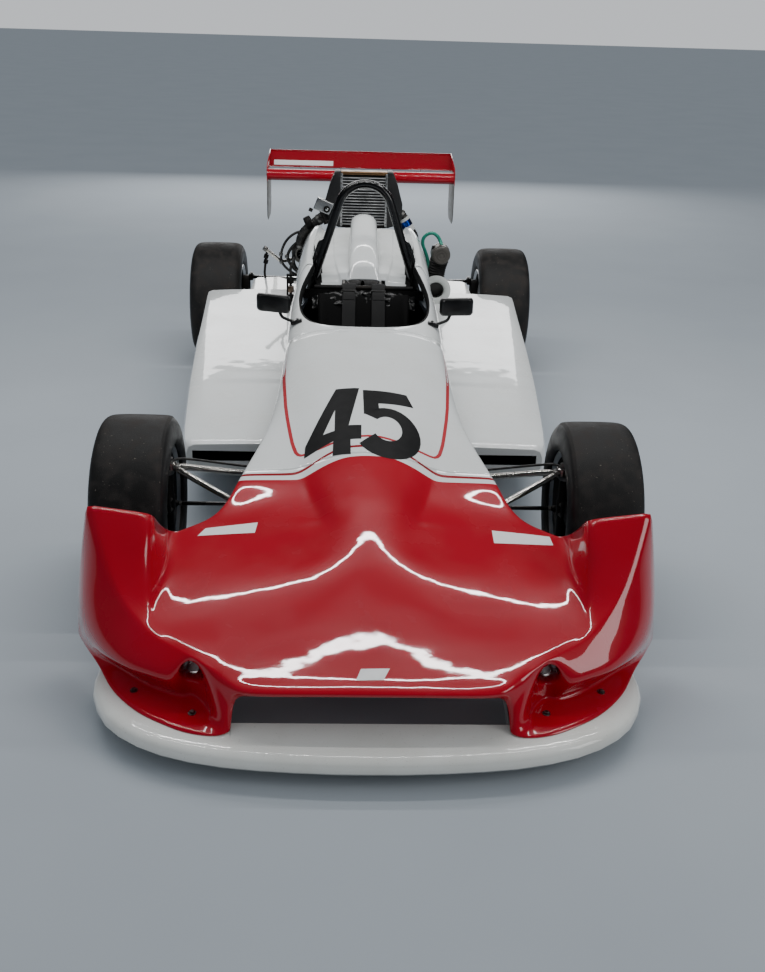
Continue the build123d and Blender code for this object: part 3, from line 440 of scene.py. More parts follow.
def carbon_black(name):
    """Satin black laminate with a faint twill in 3 mm tows."""
    look = Look(name, "#101113", Coat_Weight=0.3, Coat_Roughness=0.2, Roughness=0.42)
    twill = look.node("ShaderNodeTexChecker", {"Vector": look.where, "Scale": 1000 / 3.0,
        "Color1": linear("#0c0d0e"), "Color2": linear("#191b1d")})
    look.bump(look.noise(30, 0.3, 0.7), 0.4, 0.5)
    return look.feed(Base_Color=twill.outputs["Color"])


def lamp_lens(name, colour):
    """Clear moulded plastic, coloured through."""
    return Look(name, colour, Roughness=0.12, Coat_Weight=0.6)


WHITE = "#dfe1df"
WHITE_WORN = "#c9c8c0"
RED = "#a60d21"
DARK_RED = "#8e1a22"
# Edges across the nose. Columns: hump half widths between which they bow, station in the
# middle, station over the pans
FIELD_BOW = (50, 215, -57, -89)
LINE_BOW = (60, 235, -4, -62)
LINE_HALF = 6

M = {}


# Key, its kind and what the kind needs: name, colours, sizes in mm and roughness
LOOKS = {
    "two_colour": (nose_paint, "gloss paint, two colour nose"),
    "white": (paint, "gloss white paint on glass fibre", WHITE, WHITE_WORN),
    "red": (paint, "gloss red paint on sheet alloy", RED, "#93131c"),
    "red_flap": (paint, "red paint in shade on the flap", "#931420", "#7d1119"),
    "fin": (metal, "thin satin alloy sheet", "#a9a6a0", "#8b7c68", 0.34),
    "slat": (metal, "polished alloy louvre", "#c9cacb", "#a9aaab", 0.3),
    # The core's near black is painted shade between the cooler's louvres.
    "core": (plastic, "dark tube and fin core", "#0a0a0b", "#161616", 1.0, 0.6),
    "bronze": (metal, "bronze anodised tank", "#8a6a4c", "#5d4630", 0.3),
    "shroud": (plastic, "satin black duct shroud", "#1b1b1c", "#2b2a29", 2.0, 0.42),
    "pin": (paint, "red pinstripe tape", "#b3363c", "#a3474a"),
    "number": (plastic, "matt black vinyl number", "#08080a", "#121214", 2.0, 0.42, 0.18),
    # White vinyl of the blank stickers, also used for a painted reflection on the wing's flap.
    "sticker": (plastic, "white vinyl sticker", "#e4e4e2", "#d8d7d2", 2.0, 0.3),
    "splitter": (paint, "aged white paint on moulded board", "#dcdcd6", "#b9b4a4", 0.3),
    "tread": (rubber, "worn slick tread rubber", "#1b1a19", "#302b28", 0.8, 0.62, 0.85, 0.5),
    "sidewall": (rubber, "moulded sidewall rubber", "#151515", "#232323", 0.15, 0.42, 0.6, 0.2),
    "hoop": (lacquer, "stoved gloss black on steel tube", "#060607", "#3b3a38"),
    "plated": (metal, "nickel plated steel tube", "#cfccc6", "#8f8677", 0.1, 1.0, 0.2),
    "steel": (metal, "bare machined steel", "#8b8a88", "#3f3a35", 0.28),
    "alloy": (metal, "brushed bare alloy sheet", "#c2c4c6", "#7d7a74", 0.26),
    "disc": (metal, "ground cast iron disc", "#5f5c59", "#4a3a30", 0.35, 1.2),
    "cast": (cast, "sand cast alloy", "#85837e", "#3a342d"),
    "black_cast": (cast, "black painted magnesium casting", "#1c1c1d", "#2a2622"),
    "gold": (metal, "zinc passivated fitting", "#a08648", "#5d4a26", 0.25),
    "dark_rim": (plastic, "satin black wheel enamel", "#141516", "#2a2a2a", 1.0, 0.34),
    "mirror_shell": (plastic, "satin black moulded shell", "#0c0c0d", "#1c1c1d", 1.2, 0.28),
    "plastic": (plastic, "black moulded plastic", "#101010", "#242322"),
    "composite": (carbon_black, "satin black composite"),
    "interior": (plastic, "matt black trim", "#060606", "#0e0e0e", 2.0, 0.6, 0.2),
    "film": (film, "crumpled black polythene sheet", "#050505"),
    "webbing": (webbing, "black harness webbing", "#060607", "#161514"),
    "spring_body": (metal, "black anodised damper", "#2a2b2d", "#17181a", 0.3),
    "lens": (lamp_lens, "moulded red lamp lens", "#7a0d10"),
    "mouth": (plastic, "white gelcoat bell mouth", "#c9ccc8", "#b7bab5", 3.0, 0.3),
    "white_band": (plastic, "white tape band", "#b9bbb8", "#a4a6a3", 2.0, 0.4),
    "can": (plastic, "dark painted filter can", "#4b4742", "#35312d", 3.0, 0.4),
    "duct": (plastic, "ribbed duct rubber", "#1d1c1b", "#34322f", 2.0, 0.42),
    "hose": (hose_rubber, "black ribbed duct hose", "#0e0e0e", 9.0),
    "oil_hose": (hose_rubber, "black rubber hose", "#0c0c0c", 3.0),
    "teal": (plastic, "teal silicone tube", "#0f7d68", "#2b9a80", 2.0, 0.25),
    "anodised": (metal, "blue anodised fitting", "#1d3f9b", "#122a66", 0.22),
    "glass": (metal, "silvered mirror glass", "#d8dadb", "#c0c2c3", 0.03, 3.0, 0.1),
    "spring": (lacquer, "enamelled spring wire", "#141414", "#4c4a46", 0.25),
    # The tub's alloy is darkened to blue grey: painted shade and a painted reflection on its side.
    "tub": (metal, "riveted alloy monocoque sheet", "#7b8794", "#474c52", 0.3),
    "suede": (plastic, "black suede covering", "#070707", "#141313", 0.8, 0.85, 0.15),
    "exhaust": (metal, "heat stained steel pipe", "#7c6a5c", "#3c2f33", 0.3),
}


def make_materials():
    for key, (kind, *values) in LOOKS.items():
        M[key] = kind(*values).material


# Body: one cage from the mouth's lip to the scuttle's end, cut into its panels

BODY_COLUMNS = ("k0", "k1", "k2", "k3", "k4", "k5", "k6", "w", "r1", "r2", "belly", "brow", "root", "foot")
# Half rows of the nose behind the fenders and of the scuttle. Columns: station, then x z
# of k0 ... r1; a third number in front of x z is the point's own station. The rows at -50 and
# 840 are the seams
DECK_ROWS = point_rows("""
    -410, 0 367.5, 45 364.6, 92 353.5, 150 334.5, 360 321.1, 500 311.5, 543 312, 563 335, 571 384;
    -315, 0 392.3, 48 388.4, 92 372.2, 134 344.1, 340 333, -300 488 324.4, -296 541 316, -292 552 312,
        -292 553 300;
    -262, 0 406.2, 55 401.8, 108 382.9, 154 347.5, 310 338.7, -266 420 328.5, -258 458 328, -254 465 324,
        -254 465 312;
    -190, 0 425.2, 62 419.9, 122 398.3, 174 361, 290 354, 385 350, 412 348, 419 344, 419 332;
    -100, 0 448.5, 70 442.4, 142 418.7, 203 385, 290 385, 366 385, 386 383, 392 379, 392 366;
    -50, 0 460.7, 73 454.3, 147 430.1, 208 399, 290 396, 358 393, 375 391, 381 386, 381 372;
    60, 0 483.7, 76 477.3, 150 454.3, 219 423, 288 415, 340 409, 353 406, 358 400, 358 380;
    160, 0 500.1, 80 494.2, 157 473.5, 232 441, 284 432, 320 424, 331 421, 335 412, 335 378;
    320, 0 526, 86 521, 168 503, 248 470, 280 458, 301 447, 309 440, 312 430, 312 372;
    560, 0 564, 92 560, 180 546, 264 515, 284 499, 296 482, 300 470, 302 455, 304 380;
    840, 0 603, 98 600, 188 590, 268 561, 285 541, 294 518, 297 496, 299 470, 301 380""")
# Half rows of the nose's front, from the fender's rear edge to the mouth's jamb.
# Columns: x station z of k0 ... foot
FRONT_ROWS = point_rows("""
    0 -505 341.7, 50 -505 339.9, 110 -505 333.6, 200 -505 320.2, 380 -505 306.5, 500 -505 298.8,
        538 -505 302.4, 560 -505 352, 572 -505 464, 741 -505 486, 776 -505 290, 788 -505 150,
        791 -505 112, 791 -505 95;
    0 -580 320, 55 -580 318.8, 120 -580 314.3, 215 -580 304.4, 390 -580 292.1, 502 -580 286.2,
        541 -582 289, 559 -584 318, 574 -585 382, 700 -577 399, 768 -592 240, 760 -590 140, 750 -588 110,
        747 -585 94;
    0 -650 298.5, 58 -650 297.5, 125 -650 294, 220 -650 286.7, 395 -650 276.8, 505 -650 272.1,
        543 -652 273.6, 560 -654 279, 576 -655 295, 649 -652 318, 726 -682 208, 703 -664 133,
        676 -648 101, 703 -655 92;
    0 -720 275.8, 60 -720 275, 128 -720 272.3, 225 -722 266.6, 385 -724 258.8, 490 -727 254.6,
        522 -728 254.5, 540 -728 255, 558 -727 257, 592 -715 270, 672 -750 188, 650 -714 139,
        625 -695 101, 666 -740 92;
    0 -775 257.5, 60 -775 256.9, 127 -775 254.8, 220 -776 250.8, 360 -777 245.1, 440 -778 241.8,
        472 -777 241.3, 490 -775 240, 508 -772 240, 538 -762 243, 616 -804 178, 593 -763 148,
        575 -742 101, 622 -804 92;
    0 -810 245.9, 58 -810 245.4, 123 -810 243.7, 212 -811 240.3, 332 -812 235.7, 405 -811 233.2,
        430 -809 232.4, 448 -806 231, 466 -801 231, 493 -790 231, 551 -829 177, 538 -796 150,
        524 -775 101, 562 -868 92;
    0 -838 236.6, 58 -838 236.2, 121 -838 234.8, 206 -838 232.3, 314 -838 228.5, 378 -837 226.1,
        400 -834 225.3, 416 -830 226, 434 -823 226, 457 -811 226, 494 -848 179, 487 -838 151,
        472 -802 101, 502 -906 92;
    0 -850 232.7, 57 -850 232.3, 119 -850 231, 202 -850 228.7, 306 -850 225.2, 368 -849 222.8,
        389 -845 222.2, 404 -840 223, 422 -832 224, 447 -814 224, 470 -820 182, 466 -812 149,
        462 -796 101, 480 -920 92;
    0 -864 228.1, 56 -864 227.7, 118 -864 226.6, 198 -864 224.5, 298 -863 221.6, 357 -861 219.5,
        377 -857 218.7, 392 -852 220, 411 -843 221, 438 -821 221, 440 -808 186, 440 -800 147,
        440 -796 101, 450 -936 92;
    0 -882 222.2, 55 -882 221.9, 116 -882 220.9, 195 -882 219.1, 290 -880 216.7, 345 -876 215.3,
        364 -871 214.6, 378 -866 215, 396 -856 215, 422 -836 214, 412 -830 184, 405 -838 147,
        402 -848 101, 420 -946 92;
    0 -902 215.6, 54 -902 215.4, 114 -902 214.6, 192 -902 213.1, 284 -899 211.3, 334 -893 210.4,
        352 -887 209.9, 366 -880 208, 384 -869 206, 403 -854 203, 400 -862 181, 390 -876 146,
        386 -890 104, 394 -951 92;
    0 -932 207.9, 52 -932 207.8, 110 -931 207.2, 186 -930 206.2, 270 -927 204.8, 314 -919 204,
        330 -913 202, 342 -906 199, 354 -899 193, 364 -895 184, 370 -901 168, 371 -913 143, 370 -924 104,
        372 -953 92;
    0 -944 201.2, 52 -944 201.1, 110 -943 200.9, 184 -942 199.9, 266 -939 197.3, 304 -932 195.6,
        318 -926 191, 328 -921 184, 337 -918 174, 342 -918 160, 345 -923 147, 347 -930 130, 349 -941 106,
        350 -949 92;
    0 -937 191.3, 52 -937 191.2, 110 -936 190.8, 182 -935 189.6, 262 -931 186.5, 297 -925 184.5,
        309 -918 179, 318 -912 172, 325 -908 162, 329 -907 150, 332 -911 139, 334 -917 124, 336 -928 104,
        337 -936 92""")
BODY_CREASES = {("r2", 0, 3): 0.62, ("r2", 3, 5): 0.3, ("r1", 0, 1): 0.35, ("k3", -6, -2): 0.35,
    ("foot", 0, 13): 1.0, ("root", 2, 10): 0.5, ("brow", 2, 6): 0.35}
DUCT = (440, 182)
DUCT_RADIUS = 32
DUCT_REACH = 70


def body_cage():
    """Points by row and column name, rows ordered from the scuttle to the mouth."""
    rows = []
    for (station,), *cells in reversed(DECK_ROWS):
        row = {}
        for name, cell in zip(BODY_COLUMNS, cells):
            x, z = cell[-2:]
            row[name] = at(x, cell[0] if len(cell) == 3 else station, z)
        rows.append((station, row))
    for cells in FRONT_ROWS:
        rows.append((cells[0][1], {name: at(*cell) for name, cell in zip(BODY_COLUMNS, cells)}))
    return rows


def body_mesh():
    """Mirrored cage with a face layer that tells the nose from the scuttle."""
    net = bmesh.new()
    part = net.faces.layers.int.new("part")
    crease = net.edges.layers.float.new("crease_edge")
    rows = body_cage()
    grid = {}
    for i, (_, row) in enumerate(rows):
        for name, point in row.items():
            grid[i, name, 1] = net.verts.new(point)
            grid[i, name, -1] = (grid[i, name, 1] if name == "k0" else net.verts.new((-point.x, point.y,
                point.z)))
    for i in range(len(rows) - 1):
        for a, b in zip(BODY_COLUMNS, BODY_COLUMNS[1:]):
            if b not in rows[i][1] or b not in rows[i + 1][1]:
                continue
            for side in (1, -1):
                corners = [grid[i, a, side], grid[i, b, side], grid[i + 1, b, side], grid[i + 1, a, side]]
                face = net.faces.new(corners[::-1] if side > 0 else corners)
                face[part] = 1 if rows[i + 1][0] > NOSE_SEAM - 1 else 0
    first_front = len(DECK_ROWS)
    for (column, low, high), sharp in BODY_CREASES.items():
        for i in range(first_front + low, first_front + high):
            for side in (1, -1):
                edge = net.edges.get((grid[i, column, side], grid[i + 1, column, side]))
                if edge:
                    edge[crease] = sharp
    net.normal_update()
    return finished(net, "body")


def keep_faces(source, test, name):
    """Copy of a mesh with only the faces that pass the test."""
    net = bmesh.new()
    net.from_mesh(source)
    layer = net.faces.layers.int.get("part")
    bmesh.ops.delete(net, geom=[f for f in net.faces if not test(f, layer)], context="FACES")
    return finished(net, name)


def cut_duct(mesh):
    """Opens a round duct each side of the mouth and runs its wall rearward."""
    net = bmesh.new()
    net.from_mesh(mesh)
    front, back = at(0, -900, 0).y, at(0, -740, 0).y
    for side in (1, -1):
        centre = Vector((side * DUCT[0] * MM, DUCT[1] * MM))

        def offset(v):
            return Vector((v.co.x, v.co.z)) - centre

        gone = [f for f in net.faces if front < f.calc_center_median().y < back and f.normal.y < -0.45
            and (Vector((f.calc_center_median().x, f.calc_center_median().z))
            - centre).length < DUCT_RADIUS * MM]
        bmesh.ops.delete(net, geom=gone, context="FACES")
        rim = [e for e in net.edges if e.is_boundary and all(offset(v).length < (DUCT_RADIUS + 14) * MM
            and front < v.co.y < back for v in e.verts)]
        for v in {v for e in rim for v in e.verts}:
            spoke = offset(v).normalized() * DUCT_RADIUS * MM
            v.co.x, v.co.z = centre.x + spoke.x, centre.y + spoke.y
        for push, shrink in ((8, 0.92), (DUCT_REACH, 0.90)):
            grown = bmesh.ops.extrude_edge_only(net, edges=rim)["geom"]
            moved = [g for g in grown if isinstance(g, bmesh.types.BMVert)]
            for v in moved:
                spoke = offset(v).normalized() * DUCT_RADIUS * shrink * MM
                v.co.x, v.co.z = centre.x + spoke.x, centre.y + spoke.y
                v.co.y += push * MM
            rim = [g for g in grown if isinstance(g, bmesh.types.BMEdge) and g.is_boundary
                and all(v in moved for v in g.verts)]
    net.normal_update()
    net.to_mesh(mesh)
    net.free()


def rounded(mesh, name, levels):
    """Applies subdivision to a mesh and returns the new one."""
    piece = linked(name, mesh)
    mesh = subdivided(piece, levels)
    bpy.data.objects.remove(piece)
    return mesh


def build_nose_and_scuttle():
    mesh = rounded(body_mesh(), "body", 3)
    nose = keep_faces(mesh, lambda f, part: f[part] == 0, "nose_shell")
    cut_duct(nose)
    scuttle = keep_faces(mesh, lambda f, part: f[part] == 1, "scuttle_shell")
    bpy.data.meshes.remove(mesh)
    pieces = []
    for node, shell in (("nose", nose), ("scuttle", scuttle)):
        piece = new_object(f"{node}_panel", shell, "two_colour")
        thicken(piece, 5)
        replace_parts(piece, node)
        pieces.append(piece)
    return pieces


# Cockpit surround. Loops from the opening's edge outward. Columns: x station z for each
# point from the front centre round to the hoop
RIM_LOOP = pts("0 860 603, 72 866 602, 136 889 600, 188 932 597, 223 992 597, 246 1070 600, 258 1158 607, "
    "262 1255 617, 256 1345 633, 241 1412 657, 212 1456 700")
INNER_LOOP = tuple((x * 0.965, s + (7 if i < 4 else 2), z - 4) for i, (x, s, z) in enumerate(RIM_LOOP))
LOW_LOOP = tuple((x * 0.96, s + (9 if i < 4 else 2), z - 26) for i, (x, s, z) in enumerate(RIM_LOOP))
MID_LOOP = pts("0 850 602, 87 850 601, 164 855 596, 224 880 584, 259 928 576, 268 1020 583, 274 1130 591, "
    "278 1250 601, 273 1345 618, 261 1414 642, 236 1470 702")
SEAM_LOOP = pts("0 842 604, 98 842 601, 188 842 591, 268 842 562, 287 880 543, 292 980 548, 295 1100 556, "
    "298 1230 566, 294 1335 580, 284 1410 604, 262 1470 668")
SIDE_LOOPS = (pts("285 842 541, 296 880 510, 298 980 508, 300 1100 510, 301 1230 516, 299 1335 530, "
    "293 1410 552, 282 1470 610"), pts("297 842 496, 299 880 470, 300 980 465, 301 1100 462, 302 1230 464, "
    "301 1335 472, 298 1410 488, 291 1470 530"), pts("301 842 380, 301 880 376, 301 980 374, 302 1100 372, "
    "302 1230 372, 301 1335 372, 299 1410 374, 294 1470 376"))


def build_surround():
    """White deck round the cockpit: rolled rim, shoulder and upright side."""
    net = bmesh.new()
    crease = net.edges.layers.float.new("crease_edge")
    for side in (1, -1):
        loops = [[net.verts.new(at(side * x, s, z)) for x, s, z in loop] for loop in (LOW_LOOP, INNER_LOOP,
            RIM_LOOP, MID_LOOP, SEAM_LOOP)]
        sides = [[net.verts.new(at(side * x, s, z)) for x, s, z in loop] for loop in SIDE_LOOPS]
        strips = [(a, b) for a, b in zip(loops, loops[1:])]
        strips.append((loops[-1][3:], sides[0]))
        strips += list(zip(sides, sides[1:]))
        for k, (a, b) in enumerate(strips):
            for i in range(len(b) - 1):
                corners = [a[i], b[i], b[i + 1], a[i + 1]]
                face = net.faces.new(corners if side > 0 else corners[::-1])
                face.material_index = 1 if k < 2 else 0
        for a, b in zip(loops[2], loops[2][1:]):
            net.edges.get((a, b))[crease] = 0.2
    bmesh.ops.remove_doubles(net, verts=net.verts, dist=0.0001)
    bmesh.ops.recalc_face_normals(net, faces=net.faces)
    mesh = finished(net, "surround")
    up = sum(p.normal.z * p.area for p in mesh.polygons)
    if up < 0:
        mesh.flip_normals()
    piece = new_object("cockpit_surround_panel", rounded(mesh, "surround", 3), "white")
    piece.data.materials.append(M["interior"])
    thicken(piece, 4)
    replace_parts(piece, "cockpit_surround")


# Engine cover. Columns: station, then x z from the centre over the seam, the gutter beside
# the hoop and the side's ridge to the foot
COVER_ROWS = point_rows("""
    1475, 0 620, 46 620, 92 617, 102 611, 160 609, 196 610, 205 648, 212 698, 236 702, 262 668, 282 610,
        291 530, 293 422;
    1484, 0 638, 46 638, 92 635, 102 629, 162 626, 197 626, 206 658, 213 708, 237 710, 263 674, 282 614,
        292 534, 293 422;
    1508, 0 660, 60 660, 102 657, 110 651, 166 646, 199 643, 208 672, 215 718, 238 720, 264 682, 283 622,
        293 540, 293 422;
    1600, 0 694, 62 694, 120 690, 128 684, 172 680, 200 674, 210 702, 217 744, 240 744, 266 704, 285 644,
        294 552, 292 430;
    1760, 0 738, 60 738, 126 735, 134 729, 165 724, 188 716, 198 745, 204 786, 225 786, 254 742, 279 670,
        292 572, 291 440;
    1880, 0 770, 58 770, 128 768, 136 762, 158 757, 177 750, 185 770, 191 793, 209 792, 240 760, 274 692,
        290 590, 287 448;
    1903, 0 775, 58 775, 130 773, 138 767, 156 762, 173 756, 180 766, 186 778, 202 776, 234 752, 271 696,
        289 592, 286 450""")
# Bump on the cover. Columns: station, half width, foot z, side z, top z
BUMP_ROWS = pts("1480 62 632 636 640, 1500 62 652 660 667, 1540 61 668 704 722, 1600 60 688 752 780, "
    "1690 59 714 796 830, 1760 59 732 822 857, 1815 58 744 822 856, 1850 53 754 808 838, "
    "1868 40 762 782 800")


def build_cover():
    rows = [[at(x, station, z) for x, z in cells] for (station,), *cells in COVER_ROWS]
    piece = skin("engine_cover_panel", rows, "white", 5, 3, (("column", 2, 0.75), ("column", 3, 0.75),
        ("column", 5, 0.7), ("column", 7, 0.5), ("column", 8, 0.35), ("row", 0, 1.0), ("row", -1, 1.0)),
        notch=2)
    outward(piece.data)
    piece.data.materials.append(M["interior"])
    for polygon in piece.data.polygons:
        x, y, _ = polygon.center
        if 0.176 < abs(x) < 0.213 and y < at(0, 1640, 0).y:
            polygon.material_index = 1
    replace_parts(piece, "engine_cover")
    rows = []
    for station, half, foot, side, top in BUMP_ROWS:
        rows.append([at(0, station, top), at(half * 0.45, station, top - (top - side) * 0.08),
            at(half * 0.82, station, top - (top - side) * 0.42), at(half * 0.99, station, side),
            at(half, station, (side + foot) / 2), at(half * 1.03, station, foot + 4),
            at(half * 1.22, station, foot - 4)])
    bump = skin("engine_cover_bump", rows, "white", 3, 3)
    outward(bump.data)
    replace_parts(bump, "engine_cover")


# Tubes, lathe work and bevelled solids

def tube(name, route, radius, material, smooth_route=False, body=BODY):
    """Round bar or pipe through points in metres; radius in mm."""
    curve = bpy.data.curves.new(name, "CURVE")
    curve.dimensions = "3D"
    curve.bevel_depth = radius * MM
    curve.bevel_resolution = 5
    curve.use_fill_caps = True
    curve.resolution_u = 8
    spline = curve.splines.new("NURBS" if smooth_route else "POLY")
    spline.points.add(len(route) - 1)
    for point, place_at in zip(spline.points, route):
        point.co = (*place_at, 1)
    if smooth_route:
        spline.order_u = 3
        spline.use_endpoint_u = True
    holder = linked(name, curve)
    graph = bpy.context.evaluated_depsgraph_get()
    mesh = bpy.data.meshes.new_from_object(holder.evaluated_get(graph))
    bpy.data.objects.remove(holder)
    bpy.data.curves.remove(curve)
    return new_object(name, mesh, material, body)


def lathe(name, profile, centre, axis, material, steps=96, body=BODY):
    """Turned piece: profile is (along the axis, radius) in mm, swept round the axis."""
    axis = Vector(axis).normalized()
    up = axis.orthogonal().normalized()
    out = axis.cross(up)
    points = []
    for c, s in circle(steps):
        spoke = up * c + out * s
        points += [centre + axis * a * MM + spoke * r * MM for a, r in profile]
    count = len(profile)
    faces = [(k * count + j, k * count + j + 1, (k + 1) % steps * count + j + 1,
        (k + 1) % steps * count + j) for k in range(steps) for j in range(count - 1)]
    mesh = bpy.data.meshes.new(name)
    mesh.from_pydata([tuple(p) for p in points], [], faces)
    outward(mesh, 0.00002)
    piece = new_object(name, mesh, material, body)
    mark_sharp(mesh, 40)
    return piece


def mark_sharp(mesh, degrees):
    """Hard shading across edges that bend by more than an angle."""
    mesh.shade_smooth()
    mesh.set_sharp_from_angle(angle=math.radians(degrees))


def extrude(net, run):
    """Makes a solid of a bmesh's faces by a vector."""
    grown = bmesh.ops.extrude_face_region(net, geom=net.faces[:])["geom"]
    bmesh.ops.translate(net, vec=run, verts=[g for g in grown if isinstance(g, bmesh.types.BMVert)])


def holed(name, outer, inner, run, material):
    """Plate between two rings of as many points, extruded by a vector."""
    net = bmesh.new()
    a, b = ([net.verts.new(p) for p in ring] for ring in (outer, inner))
    for k in range(len(a)):
        net.faces.new((a[k - 1], a[k], b[k], b[k - 1]))
    extrude(net, run)
    piece = new_object(name, finished(net, name), material)
    outward(piece.data)
    return piece


def prism(name, outline, run, material, bevel=0.0, segments=3, body=BODY):
    """Solid from a closed outline of points in metres, extruded by a vector."""
    net = bmesh.new()
    net.faces.new([net.verts.new(p) for p in outline])
    extrude(net, run)
    bmesh.ops.recalc_face_normals(net, faces=net.faces)
    mesh = finished(net, name)
    piece = new_object(name, mesh, material, body)
    if bevel:
        soften(piece, bevel, segments)
    else:
        mark_sharp(mesh, 30)
    return piece


def soften(piece, bevel, segments=3, degrees=30):
    """Rounds the piece's edges by a width in mm."""
    rounding = piece.modifiers.new("edge", "BEVEL")
    rounding.width = bevel * MM
    rounding.segments = segments
    rounding.limit_method = "ANGLE"
    rounding.angle_limit = math.radians(degrees)
    rounding.harden_normals = False
    applied(piece)
    mark_sharp(piece.data, 40)
    return piece


def slab(name, one, other, material, bevel=1.0, segments=2, body=BODY):
    """Rounded block between two corners in metres."""
    (x0, x1), (y0, y1), (z0, z1) = (sorted(ends) for ends in zip(one, other))
    return prism(name, [(x0, y0, z0), (x1, y0, z0), (x1, y1, z0), (x0, y1, z0)], Vector((0, 0, z1 - z0)),
        material, bevel, segments, body=body)


class Kit(list):
    """Parts on one body. A method named after each maker of parts adds what it makes."""

    def __init__(self, body=BODY):
        super().__init__()
        self.body = body
        for maker in (tube, lathe, prism, slab, ribbon, sweep, bolt, rod, caliper):
            setattr(self, maker.__name__, functools.partial(self.add, maker))

    def add(self, maker, *values, **settings):
        made = maker(*values, body=self.body, **settings)
        self.extend(made if isinstance(made, list) else [made])


def joined(name, pieces):
    """Makes one piece of several that ride on the same body."""
    net = bmesh.new()
    slots = []
    for piece in pieces:
        mesh = piece.data
        for slot_material in mesh.materials:
            if slot_material not in slots:
                slots.append(slot_material)
        start = len(net.faces)
        net.from_mesh(mesh)
        net.faces.ensure_lookup_table()
        for face in net.faces[start:]:
            face.material_index = slots.index(mesh.materials[face.material_index])
    mesh = finished(net, name)
    body = body_of(pieces[0])
    body = body[0] if isinstance(body, (list, tuple)) else body
    result = linked(name, mesh)
    for material in slots:
        mesh.materials.append(material)
    for piece in pieces:
        old = piece.data
        bpy.data.objects.remove(piece)
        bpy.data.meshes.remove(old)
    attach(result, body)
    return result


# Sidepods, splitter and tyres

# Half sections of the left pod. Columns: station, inner x, outer x, bottom z, top z at the
# inner side, top z at the outer side
POD_ROWS = pts("404 316 612 212 310 304, 412 316 618 204 316 310, 440 316 628 186 325 318, "
    "520 315 638 150 337 330, 700 313 654 108 348 341, 1000 311 678 90 365 357, 1400 310 703 84 386 378, "
    "1800 309 722 84 409 400, 2080 309 736 100 429 418, 2136 309 737 112 434 422")
POD_TAIL_ROWS = pts("2130 309 540 182 434 429, 2240 309 538 190 440 434, 2356 309 534 200 446 438")
# Inlet slot in the pod's front. x from and to, z from and to
POD_SLOT = (322, 592, 245, 282)
POD_ROUND = 24


def pod_section(row, side):
    station, x0, x1, low, top_in, top_out = row
    r = POD_ROUND
    outline = [(x0, low), (x1 - r * 1.6, low), (x1 - r * 0.4, low + r * 0.35), (x1, low + r * 1.5),
        (x1, top_out - r * 1.3), (x1 - r * 0.35, top_out - r * 0.35), (x1 - r * 1.2, top_out),
        (x1 - 120, (2 * top_out + top_in) / 3 + 1), (x0 + 60, top_in), (x0, top_in)]
    return [at(side * x, station, z) for x, z in outline]


def pod_shell(name, rows, side, closed_front):
    """Skin through the sections, its inner side open and hidden behind the body."""
    mesh_rows = [pod_section(row, side) for row in rows]
    columns = len(mesh_rows[0])
    points = [p for row in mesh_rows for p in row]
    faces = grid_faces(len(mesh_rows), columns, True)
    if closed_front:
        faces.append(tuple(range(columns)))
    mesh = mesh_of(name, points, faces)
    outward(mesh)
    return mesh


def build_pod(side, name):
    """Hollow pod: rounded shell with a dark inlet slot cut in its front."""
    net = bmesh.new()
    net.from_mesh(pod_shell("pod", POD_ROWS, side, False))
    net.from_mesh(pod_shell("tail", POD_TAIL_ROWS, side, False))
    x0, x1, z0, z1 = POD_SLOT
    station = POD_ROWS[0][0]
    outer = [net.verts.new(p) for p in pod_section(POD_ROWS[0], side)]
    slot = [at(side * x, station, z) for x, z in ((x0, z0), (x1, z0), (x1, z1), (x0, z1))]
    inner = [net.verts.new(p) for p in slot]
    edges = [net.edges.new((ring[k - 1], ring[k])) for ring in (outer, inner) for k in range(len(ring))]
    bmesh.ops.triangle_fill(net, use_beauty=True, edges=edges)
    bmesh.ops.remove_doubles(net, verts=net.verts, dist=0.0001)
    bmesh.ops.recalc_face_normals(net, faces=net.faces)
    mesh = finished(net, "pod_shell")
    shell = new_object(f"sidepod_{name}_shell", mesh, "white")
    thicken(shell, 5)
    duct = [Vector((p.x, p.y + 0.003, p.z)) for p in slot] + [Vector((p.x, p.y + 0.13, p.z)) for p in slot]
    box = mesh_of("duct", duct, grid_faces(2, 4, True) + [(4, 5, 6, 7)])
    shell = joined(f"sidepod_{name}_shell", [shell, new_object("duct", box, "interior")])
    mark_sharp(shell.data, 35)
    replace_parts(shell, f"sidepod_{name}")


# Splitter's edge from the middle outward. Columns: x, station
SPLITTER_EDGE = pts("0 -1045, 90 -1044, 180 -1039, 270 -1031, 343 -1021, 352 -1019.5, 430 -1001, 500 -976, "
    "560 -944, 612 -904, 652 -860, 682 -808, 703 -752, 711 -700, 711 -640")
# Section inward from the edge. Columns: distance in, z
SPLITTER_SECTION = pts("26 41, 8 43, 1 51, 0 61, 2 72, 8 80, 18 85, 34 87.5, 60 88.5")


def build_splitter():
    """Crescent board with a rounded front edge, cut out behind the mouth's sill."""
    half = [Vector(p) for p in SPLITTER_EDGE]
    line = [Vector((-p.x, p.y)) for p in reversed(half[1:])] + half
    middle = Vector((0, -560))
    rows = []
    for i, p in enumerate(line):
        along = heading(line, i)
        inward = Vector((-along.y, along.x))
        if inward.dot(middle - p) < 0:
            inward = -inward
        row = [(p + inward * d, z) for d, z in SPLITTER_SECTION]
        back = Vector((max(min(p.x, 650), -650), -640))
        if abs(p.x) < 345:
            back = Vector((p.x, -897))
        row.append((back, SPLITTER_SECTION[-1][1]))
        row.append((back, SPLITTER_SECTION[0][1]))
        rows.append([at(q.x, q.y, z) for q, z in row])
    mesh = mesh_of("splitter", [p for row in rows for p in row], grid_faces(len(rows), len(rows[0]), True))
    piece = new_object("splitter_board", mesh, "splitter")
    outward(mesh)
    subdivided(piece, 1, "SIMPLE")
    mark_sharp(piece.data, 35)
    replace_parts(piece, "splitter")


